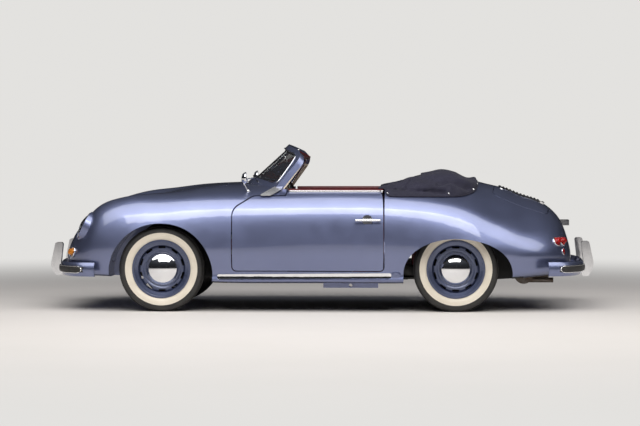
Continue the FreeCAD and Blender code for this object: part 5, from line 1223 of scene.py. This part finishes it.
# %% Seal, mouldings and header
# Each ring has its inset from the slab's edge, its depth behind the front face, its radius and its finish.
ring_places = (("windscreen_seal", 0.0475, 0.0145, 0.0042, rubber),
               ("windscreen_inner_seal", 0.0475, 0.0235, 0.0042, rubber),
               ("windscreen_outer_moulding", 0.0435, -0.0012, 0.0034, chrome),
               ("windscreen_inner_moulding", 0.0420, 0.0390, 0.0052, chrome))
screen_rings = [screen_ring(*ring_place) for ring_place in ring_places]
for made in screen_rings:
    settle(made)
lining_depth = 0.0388


def header_lining():
    """A padded red band behind the top bar, from one side to the other."""
    rows = []
    top_mid, bow = screen_length / 2, screen_top_bow
    radius = (screen_top_half ** 2 + bow ** 2) / (2 * bow)
    for k in range(61):
        across = -0.470 + 0.940 * k / 60
        high = top_mid + radius - math.sqrt(radius ** 2 - across ** 2)
        rows.append([on_screen(across, high - down, lining_depth + depth) for down, depth in
                     ((0.036, 0.0), (0.036, 0.005), (0.030, 0.0095), (0.018, 0.0115), (0.008, 0.0095),
                      (0.002, 0.005), (0.002, 0.0))])
    return bar("header_lining", rows, red_leather)


def pillar_lining(side):
    """A thin beige trim on the back of a pillar, from its foot to the header."""
    outer = screen_outline(0.0045, screen_corner)
    inner = screen_outline(0.0385, screen_corner - screen_border / 2)
    rows = []
    for (a, b), (c, d) in zip(outer, inner):
        if a * side > 0 and -0.155 < b < 0.205 and abs(a) > 0.45:
            way = Vector((c - a, d - b)).normalized() * 0.0035
            rim = [((a, b), 0.0), ((a, b), 0.0016), ((a + way.x, b + way.y), 0.0030),
                   ((c - way.x, d - way.y), 0.0030), ((c, d), 0.0016), ((c, d), 0.0)]
            rows.append([on_screen(p, q, lining_depth + depth) for (p, q), depth in rim])
    return bar("pillar_lining", rows, lining)


settle(joined("pillar_linings", [pillar_lining(1), pillar_lining(-1)]))
header = header_lining()
settle(header)
catches = []
for side in (1, -1):
    at = on_screen(side * 0.300, screen_length / 2 + 0.004, 0.020)
    catch_rounding = 0.003
    catches.append(rounded_block("catch", at + Vector((-0.016, -0.020, -0.004)),
                                 at + Vector((0.010, 0.020, 0.010)), catch_rounding, chrome))
settle(joined("header_catches", catches))
print("windscreen foot", [round(v, 4) for v in screen_foot])

# %% [markdown]
# ## Dashboard
# The panel is painted like the body. On top lies a padded red roll along the edge of the cabin. Three round
# instruments sit in front of the driver, with cream ticks and needles on black faces, then come a row of
# knobs, a speaker slot and a lid for the glovebox. Every instrument is its own small stack: chromed bezel,
# dial, ticks, needle and flat glass.

# %% The roll along the cabin's front edge
roll_half = 0.455


def cowl_edge(y):
    """The rear edge of the scuttle at a distance from the middle."""
    x = behind_front_axle(0.760)
    while x < behind_front_axle(0.540):
        hit = body_skin.ray_cast(Vector((x, y, 1.4)), Vector((0, 0, -1)))[0]
        if hit and hit.z > 0.85:
            return Vector((x, y, hit.z))
        x += 0.002
    return Vector((behind_front_axle(0.610), y, 0.90))


roll_section = [(-0.004, -0.086), (0.016, -0.088), (0.034, -0.082), (0.047, -0.066), (0.054, -0.044),
                (0.055, -0.024), (0.048, -0.006), (0.034, 0.0045), (0.018, 0.0080), (0.004, 0.0075),
                (-0.006, 0.0040), (-0.009, 0.0005), (-0.004, -0.004)]
roll_path = [cowl_edge(roll_half * (1 - 2 * k / 60)) for k in range(61)]
roll_path = smooth_path([tuple(p) for p in roll_path[::4]], 80)
roll_frames = [(Vector((-1, 0, 0)), Vector((0, 0, 1))) for _ in roll_path]
dash_roll = sweep("dashboard_roll", roll_path, roll_frames, roll_section, red_leather)
settle(dash_roll)
dash_skin = skin_of("dashboard")


def dash_face(y, z):
    """Where a level line from the seats meets the panel, and which way the panel faces there."""
    hit, normal = dash_skin.ray_cast(Vector((0.0, y, z)), Vector((1, 0, 0)))[:2]
    if normal.x > 0:
        normal = -normal
    return hit, normal


# %% Instruments
ivory = make_finish("ivory_plastic", (0.62, 0.54, 0.38), (0.55, 0.47, 0.32), (0.25, 0.38), coat=0.4,
                    cloud=30.0, grain=200.0, depth=0.00003)


def dial(name, y, z, radius, needle_turn):
    at, out = dash_face(y, z)
    up = Vector((0, 0, 1)) - out * out.z
    up.normalize()
    side = out.cross(up)
    bezel_profile = [(-0.004, radius * 0.99), (0.004, radius * 1.08), (0.009, radius * 1.07),
            (0.011, radius * 1.0), (0.009, radius * 0.93), (0.003, radius * 0.92), (-0.004, radius * 0.91),
            (-0.004, radius * 0.99)]
    face_profile = [(-0.003, 0.0), (-0.003, radius * 0.93), (0.002, radius * 0.93), (0.002, 0.0)]
    boss_profile = [(0.002, 0.0), (0.002, radius * 0.10), (0.007, radius * 0.08), (0.0075, 0.0)]
    parts = [lathe("bezel", bezel_profile, at, out, chrome, steps=56),
            lathe("face", face_profile, at, out, satin_black, steps=48),
            lathe("boss", boss_profile, at, out, satin_black, steps=24)]
    for k in range(17):
        turn = math.radians(-130 + 260 * k / 16)
        way = up * math.cos(turn) + side * math.sin(turn)
        long_tick = 0.16 if k % 4 == 0 else 0.09
        start, end = radius * (0.86 - long_tick), radius * 0.86
        tick_radius = 0.0009
        parts.append(rod("tick", [at + out * 0.0026 + way * start, at + out * 0.0026 + way * end],
                         tick_radius, ivory, sides=6))
    turn = math.radians(needle_turn)
    way = up * math.cos(turn) + side * math.sin(turn)
    needle_radius = 0.0011
    parts.append(rod("needle", [at + out * 0.0045 - way * radius * 0.14,
                                at + out * 0.0045 + way * radius * 0.72], needle_radius, ivory, sides=6))
    glass_profile = [(0.0072, 0.0), (0.0072, radius * 0.925), (0.0084, radius * 0.925), (0.0088, 0.0)]
    parts.append(lathe("glass", glass_profile, at, out, clear_glass, steps=48))
    return joined(name, parts)


dial_height = 0.735
for name, y, radius, turn in (("tachometer", 0.340, 0.050, -105), ("speedometer", 0.462, 0.050, -128),
                              ("oil_and_fuel_gauge", 0.222, 0.046, -20)):
    settle(dial(name, y, dial_height, radius, turn))

knob_profile = [(-0.002, 0.0), (-0.002, 0.0105), (0.002, 0.0105), (0.003, 0.0050), (0.012, 0.0045),
                (0.014, 0.0100), (0.019, 0.0125), (0.025, 0.0110), (0.028, 0.0060), (0.029, 0.0)]
knobs = []
for y, z in ((0.150, 0.715), (0.105, 0.715), (0.060, 0.715), (-0.060, 0.715), (-0.105, 0.715),
             (0.128, 0.765)):
    at, out = dash_face(y, z)
    knobs.append(lathe("knob", knob_profile, at, out, ivory, steps=28))
settle(joined("dashboard_knobs", knobs))


def panel_frame(name, y0, y1, z0, z1, radius, finish):
    """A thin bead round a panel on the dashboard's face."""
    corner = 0.014
    places = []
    for cy, cz, start in ((y1 - corner, z1 - corner, 0), (y0 + corner, z1 - corner, 90),
                          (y0 + corner, z0 + corner, 180), (y1 - corner, z0 + corner, 270)):
        for k in range(7):
            turn = math.radians(start + 90 * k / 6)
            places.append((cy + corner * math.cos(turn), cz + corner * math.sin(turn)))
    path = [dash_face(y, z)[0] + dash_face(y, z)[1] * radius * 0.4 for y, z in places]
    return rod(name, path, radius, finish, closed=True)


settle(panel_frame("glovebox_bead", -0.500, -0.190, 0.680, 0.790, 0.0022, chrome))
at, out = dash_face(-0.345, 0.770)
glovebox_lock_profile = [(-0.002, 0.0), (-0.002, 0.012), (0.004, 0.011), (0.008, 0.006), (0.009, 0.0)]
settle(lathe("glovebox_lock", glovebox_lock_profile, at, out, chrome, steps=28))
bars = []
for k in range(7):
    z = 0.738 + 0.0075 * k
    line = [dash_face(0.046 - 0.092 * j / 8, z)[0] + Vector((-0.0012, 0, 0)) for j in range(9)]
    bar_radius = 0.0024
    bars.append(rod("bar", line, bar_radius, chrome, sides=8))
settle(joined("speaker_bars", bars))

# %% [markdown]
# The thin black rim of the steering wheel keeps its solid. It gets an ivory horn button in a chromed ring,
# set into the hub, and it turns with the wheel.

# %% Horn button
wheel_tilt = math.radians(28)
wheel_axis = Vector((-math.cos(wheel_tilt), 0, math.sin(wheel_tilt)))
wheel_rim = Vector((behind_front_axle(0.970), 0.340, 0.770))
hub_face = wheel_rim - wheel_axis * 0.045
horn_ring_profile = [(-0.002, 0.0315), (0.005, 0.0325), (0.010, 0.0300), (0.011, 0.0265), (0.006, 0.0250),
                     (-0.002, 0.0250), (-0.002, 0.0315)]
horn_ring = lathe("horn_ring", horn_ring_profile, hub_face, wheel_axis, chrome, "steering_wheel", 48)
horn_button_profile = [(-0.002, 0.0), (-0.002, 0.0245), (0.006, 0.0245), (0.011, 0.0210), (0.0145, 0.0120),
                       (0.0155, 0.0)]
horn_button = lathe("horn_button", horn_button_profile, hub_face, wheel_axis, ivory, "steering_wheel", 40)
settle(joined("horn_button", [horn_ring, horn_button]))

# %% [markdown]
# ## Bumpers
# A rubber strip runs round each bumper in a bright channel with rounded ends, broken by the guards. The
# channel's lips are swept along lines that follow the blade: each place is found by a level ray towards the
# car's middle.

# %% The channels of the rubber strips
guard_middle, guard_half = 0.360, 0.0285
channel_half = 0.0215
blade_height_of = {"front_bumper": 0.300, "rear_bumper": 0.309}
strip_end = 0.7600
lip_radius = 0.0048
lip_lift = 0.0035


def blade_point(skin, way, turn, z):
    """A place on the blade's outer face at an angle round the car's end, and its outward direction."""
    centre = Vector((way * 1.10, 0, z))
    direction = Vector((way * math.cos(turn), math.sin(turn), 0))
    hit, normal = skin.ray_cast(centre + direction * 2.0, -direction)[:2]
    if hit is None:
        return None
    return hit, (normal if normal.dot(direction) > 0 else -normal)


def turn_for(skin, way, y, z):
    """The angle at which the blade lies at a distance from the middle."""
    low, high = 0.0, math.radians(80)
    for _ in range(30):
        middle = (low + high) / 2
        found = blade_point(skin, way, middle, z)
        if found is None or found[0].y > y:
            high = middle
        else:
            low = middle
    return low


def channel(bumper, way, side, name):
    skin = skin_of(bumper)
    z = blade_height_of[bumper]
    start = turn_for(skin, way, guard_middle + guard_half, z)
    end = turn_for(skin, way, strip_end - channel_half, z)
    places = [(start + (end - start) * k / 26, channel_half) for k in range(27)]
    reach = turn_for(skin, way, strip_end, z) - end
    places += [(end + reach * math.sin(math.radians(a)), channel_half * math.cos(math.radians(a)))
               for a in range(15, 180, 15)]
    places += [(start + (end - start) * (26 - k) / 26, -channel_half) for k in range(27)]
    path = []
    for turn, lift in places:
        found = blade_point(skin, way, side * turn, z + lift)
        if found:
            path.append(found[0] + found[1] * lip_lift)
    return rod(name, path, lip_radius, chrome)


def middle_lips(bumper, way, name):
    skin = skin_of(bumper)
    z = blade_height_of[bumper]
    edge = turn_for(skin, way, guard_middle - guard_half, z)
    lips = []
    for lift in (channel_half, -channel_half):
        found = [blade_point(skin, way, edge * (1 - 2 * k / 40), z + lift) for k in range(41)]
        lips.append(rod(name, [hit + normal * lip_lift for hit, normal in found], lip_radius, chrome))
    return lips


for bumper, way in (("front_bumper", 1), ("rear_bumper", -1)):
    lips = [channel(bumper, way, side, bumper + "_lip") for side in (1, -1)]
    lips += middle_lips(bumper, way, bumper + "_lip")
    settle(joined(bumper + "_channel", lips))

# %% [markdown]
# ## Lamps and small fittings
# Every lamp has a chromed bezel. Behind the ribbed glass of each headlamp sit a bulb and its holder, in
# front of the polished bowl that the frame already has.

# %% Bezels and bulbs
def facing(y, z, way):
    """Where a level line from ahead or behind meets the body."""
    hit, normal = body_skin.ray_cast(Vector((way * 3, y, z)), Vector((-way, 0, 0)))[:2]
    return hit, (normal if normal.x * way > 0 else -normal)


def bezel(name, y, z, way, radius):
    hit, out = facing(y, z, way)
    profile = [(-0.004, radius - 0.002), (0.004, radius), (0.009, radius + 0.0045), (0.006, radius + 0.0085),
               (-0.004, radius + 0.0095), (-0.004, radius - 0.002)]
    return lathe(name, profile, hit, out, chrome, steps=56)


bezels = [bezel("turn_bezel", side * 0.585, 0.418, 1, 0.0305) for side in (1, -1)]
bezels += [bezel("tail_bezel", side * y, 0.497, -1, 0.0295) for side in (1, -1) for y in (0.490, 0.560)]
settle(joined("lamp_bezels", bezels))

lamp_lean = math.radians(27)
lamp_out = Vector((math.cos(lamp_lean), 0, math.sin(lamp_lean)))
bulbs = []
for side in (1, -1):
    seat = Vector((behind_front_axle(-0.571), side * 0.560, 0.608)) - lamp_out * 0.062
    holder_profile = [(-0.004, 0.0), (-0.004, 0.015), (0.008, 0.014), (0.012, 0.010), (0.012, 0.0)]
    bulbs.append(lathe("holder", holder_profile, seat, lamp_out, dull_steel, steps=32))
    bulb_profile = [(0.010, 0.0), (0.011, 0.0070), (0.020, 0.0110), (0.030, 0.0105), (0.037, 0.0065),
                    (0.040, 0.0)]
    bulbs.append(lathe("bulb", bulb_profile, seat, lamp_out, white_rubber, steps=32))
settle(joined("headlamp_bulbs", bulbs))

# %% [markdown]
# Below and behind each door a round plug closes the jack's socket, and two short horn grilles sit beside
# the front turn lamps.

# %% Sill plugs, horn grilles and reflectors
def flank(x, z, side):
    skin = skin_of("rear_body", "sills", "front_body")
    hit, normal = skin.ray_cast(Vector((x, side * 2, z)), Vector((0, -side, 0)))[:2]
    return hit, (normal if normal.y * side > 0 else -normal)


small = []
for side in (1, -1):
    at, out = flank(behind_front_axle(1.674), 0.269, side)
    plug_profile = [(-0.004, 0.0), (-0.004, 0.034), (0.0015, 0.034), (0.004, 0.031), (0.0045, 0.012),
                    (0.0030, 0.0)]
    small.append(lathe("plug", plug_profile, at, out, paint, steps=48))
settle(joined("sill_plugs", small))


def horn_grille(side):
    parts = []
    for k in range(5):
        z = 0.440 - 0.012 * k
        half = 0.046 - 0.004 * abs(k - 2)
        line = []
        for j in range(9):
            hit, normal = facing(side * 0.470 + half * (2 * j / 8 - 1), z, 1)
            line.append(hit + normal * 0.0024)
        bar_radius = 0.0032
        parts.append(rod("bar", line, bar_radius, chrome, sides=8))
    ring = []
    for k in range(36):
        turn = math.tau * k / 36
        hit, normal = facing(side * 0.470 + 0.056 * math.cos(turn), 0.416 + 0.036 * math.sin(turn), 1)
        ring.append(hit + normal * 0.0022)
    frame_radius = 0.0036
    parts.append(rod("frame", ring, frame_radius, chrome, sides=10, closed=True))
    return parts


settle(joined("horn_grilles", horn_grille(1) + horn_grille(-1)))
reflectors = []
for side in (1, -1):
    hit, out = facing(side * 0.525, 0.425, -1)
    ring_profile = [(-0.003, 0.0), (-0.003, 0.026), (0.003, 0.026), (0.006, 0.0235), (0.003, 0.0215),
                    (0.003, 0.0)]
    reflectors.append(lathe("ring", ring_profile, hit, out, chrome, steps=40))
    face_profile = [(0.0025, 0.0), (0.0025, 0.0215), (0.0050, 0.0205), (0.0060, 0.0)]
    reflectors.append(lathe("face", face_profile, hit, out, red_glass, steps=40))
settle(joined("reflectors", reflectors))

# %% [markdown]
# ## Carpets
# Red carpet with a bound edge covers the floor in front of the seats, and a long strip lies over the tunnel.

# %% Mats and tunnel carpet
floor_top = 0.2405
mats = []
for side in (1, -1):
    y0, y1 = sorted((side * 0.084, side * 0.385))
    mat_rounding = 0.004
    mats.append(rounded_block("mat", (0.285, y0, floor_top), (0.880, y1, floor_top + 0.009), mat_rounding,
                              red_carpet))
    binding = []
    for cx, cy, start in ((0.866, y1 - 0.014, 0), (0.299, y1 - 0.014, 90), (0.299, y0 + 0.014, 180),
                          (0.866, y0 + 0.014, 270)):
        binding += [Vector((cx + 0.014 * math.cos(math.radians(start + 90 * k / 6)),
                            cy + 0.014 * math.sin(math.radians(start + 90 * k / 6)), floor_top + 0.0085))
                    for k in range(7)]
    binding_radius = 0.0030
    mats.append(rod("binding", binding, binding_radius, red_leather, sides=8, closed=True))
tunnel_half, tunnel_top = 0.0765, 0.3515
tunnel_section = [(-tunnel_half - 0.004, 0.2420), (-tunnel_half - 0.004, tunnel_top - 0.006),
                  (-tunnel_half + 0.002, tunnel_top + 0.0045), (tunnel_half - 0.002, tunnel_top + 0.0045),
                  (tunnel_half + 0.004, tunnel_top - 0.006), (tunnel_half + 0.004, 0.2420),
                  (tunnel_half, 0.2420), (tunnel_half, tunnel_top - 0.004),
                  (tunnel_half - 0.003, tunnel_top), (-tunnel_half + 0.003, tunnel_top),
                  (-tunnel_half, tunnel_top - 0.004), (-tunnel_half, 0.2420)]
tunnel_path = [Vector((-0.450 + 1.320 * k / 20, 0, 0)) for k in range(21)]
mats.append(sweep("tunnel", tunnel_path, [(Vector((0, 1, 0)), Vector((0, 0, 1)))] * 21, tunnel_section,
                  red_carpet))
settle(joined("carpets", mats))

# %% [markdown]
# ## Studio
# A pale floor that runs into a pale background, soft panels of light overhead and high on the car's left
# side, and a long lens at the photograph's place: level with the windscreen's top, square to the car's left
# side.

# %% Camera, floor and light
background_colour = (0.80, 0.79, 0.77)
background_strength = 0.96
camera_setback = 17.6
camera_height = 1.1526
camera_lens = 133.6
eye = Vector((-0.681, camera_setback, camera_height))
aim = Vector((0.023, 0.0, 0.686))
lens = bpy.data.cameras.new("camera")
lens.lens = camera_lens
lens.sensor_width = 36.0
lens.clip_end = 200.0
camera = bpy.data.objects.new("camera", lens)
camera.location = eye
camera.rotation_euler = (aim - eye).to_track_quat("-Z", "Y").to_euler()
scene.collection.objects.link(camera)
scene.camera = camera
scene.view_settings.view_transform = "Standard"


def studio_floor():
    """Pale paper that takes shadows near the car and fades into the background further out."""
    material = bpy.data.materials.new("studio_floor")
    material.use_nodes = True
    tree = material.node_tree
    shader = tree.nodes["Principled BSDF"]
    place = add(material, "ShaderNodeTexCoord")
    cloud = noise_of(material, place, 0.8, 4.0)
    shift = ranged(material, cloud, "Fac", 0.0, 1.0)
    mix = tinted(material, shift, (0.70, 0.67, 0.65), (0.67, 0.645, 0.62))
    tree.links.new(colour_out(mix), shader.inputs["Base Color"])
    shader.inputs["Roughness"].default_value = 0.6
    far = add(material, "ShaderNodeVectorMath", operation="LENGTH")
    wire(material, place, "Object", far, "Vector")
    glow = ranged(material, far, "Value", 0.0, 1.0, (2.6, 8.5))
    glow.interpolation_type = "SMOOTHSTEP"
    paper = add(material, "ShaderNodeEmission")
    paper.inputs["Color"].default_value = (*background_colour, 1)
    paper.inputs["Strength"].default_value = background_strength
    blend = add(material, "ShaderNodeMixShader")
    ray = add(material, "ShaderNodeLightPath")
    shown = add(material, "ShaderNodeMath", operation="MULTIPLY")
    tree.links.new(glow.outputs["Result"], shown.inputs[0])
    tree.links.new(ray.outputs["Is Camera Ray"], shown.inputs[1])
    wire(material, shown, "Value", blend, "Fac")
    tree.links.new(shader.outputs[0], blend.inputs[1])
    tree.links.new(paper.outputs[0], blend.inputs[2])
    tree.links.new(blend.outputs[0], tree.nodes["Material Output"].inputs["Surface"])
    return material


floor_reach = 40.0
floor_mesh = bpy.data.meshes.new("floor")
floor_mesh.from_pydata([(-floor_reach, -floor_reach, 0), (floor_reach, -floor_reach, 0),
                        (floor_reach, floor_reach, 0), (-floor_reach, floor_reach, 0)], [], [(0, 1, 2, 3)])
floor_mesh.materials.append(studio_floor())
floor = bpy.data.objects.new("floor", floor_mesh)
scene.collection.objects.link(floor)


def studio_world():
    """A pale surround for the camera, and a dimmer one with a bright top for what reflects it."""
    world = bpy.data.worlds.new("studio")
    scene.world = world
    world.use_nodes = True
    tree = world.node_tree
    tree.nodes.clear()
    out = tree.nodes.new("ShaderNodeOutputWorld")
    ray = tree.nodes.new("ShaderNodeLightPath")
    seen = tree.nodes.new("ShaderNodeBackground")
    seen.inputs["Color"].default_value = (*background_colour, 1)
    seen.inputs["Strength"].default_value = background_strength
    place = tree.nodes.new("ShaderNodeTexCoord")
    parts = tree.nodes.new("ShaderNodeSeparateXYZ")
    tree.links.new(place.outputs["Generated"], parts.inputs[0])
    ramp = tree.nodes.new("ShaderNodeValToRGB")
    ramp.color_ramp.elements[0].position = 0.0
    ramp.color_ramp.elements[0].color = (0.020, 0.020, 0.022, 1)
    ramp.color_ramp.elements[1].position = 1.0
    ramp.color_ramp.elements[1].color = (0.16, 0.17, 0.20, 1)
    middle = ramp.color_ramp.elements.new(0.25)
    middle.color = (0.030, 0.031, 0.036, 1)
    tree.links.new(parts.outputs["Z"], ramp.inputs[0])
    lit = tree.nodes.new("ShaderNodeBackground")
    tree.links.new(ramp.outputs["Color"], lit.inputs["Color"])
    lit.inputs["Strength"].default_value = 0.75
    mix = tree.nodes.new("ShaderNodeMixShader")
    tree.links.new(ray.outputs["Is Camera Ray"], mix.inputs[0])
    tree.links.new(lit.outputs[0], mix.inputs[1])
    tree.links.new(seen.outputs[0], mix.inputs[2])
    tree.links.new(mix.outputs[0], out.inputs["Surface"])


def light_panel(place, target, size, power, colour=(1.0, 0.98, 0.95)):
    light = bpy.data.lights.new("panel", "AREA")
    light.shape = "RECTANGLE"
    light.size, light.size_y = size
    light.energy = power
    light.color = colour
    made = bpy.data.objects.new("panel", light)
    made.location = place
    made.rotation_euler = (Vector(target) - Vector(place)).to_track_quat("-Z", "Y").to_euler()
    scene.collection.objects.link(made)
    return made


studio_world()
light_panel((-0.9, 2.5, 4.6), (-0.9, 0.8, 0.4), (14.0, 3.8), 450.0)
light_panel((0.0, 9.0, 7.0), (0.0, 7.0, 0.0), (10.0, 4.0), 720.0)
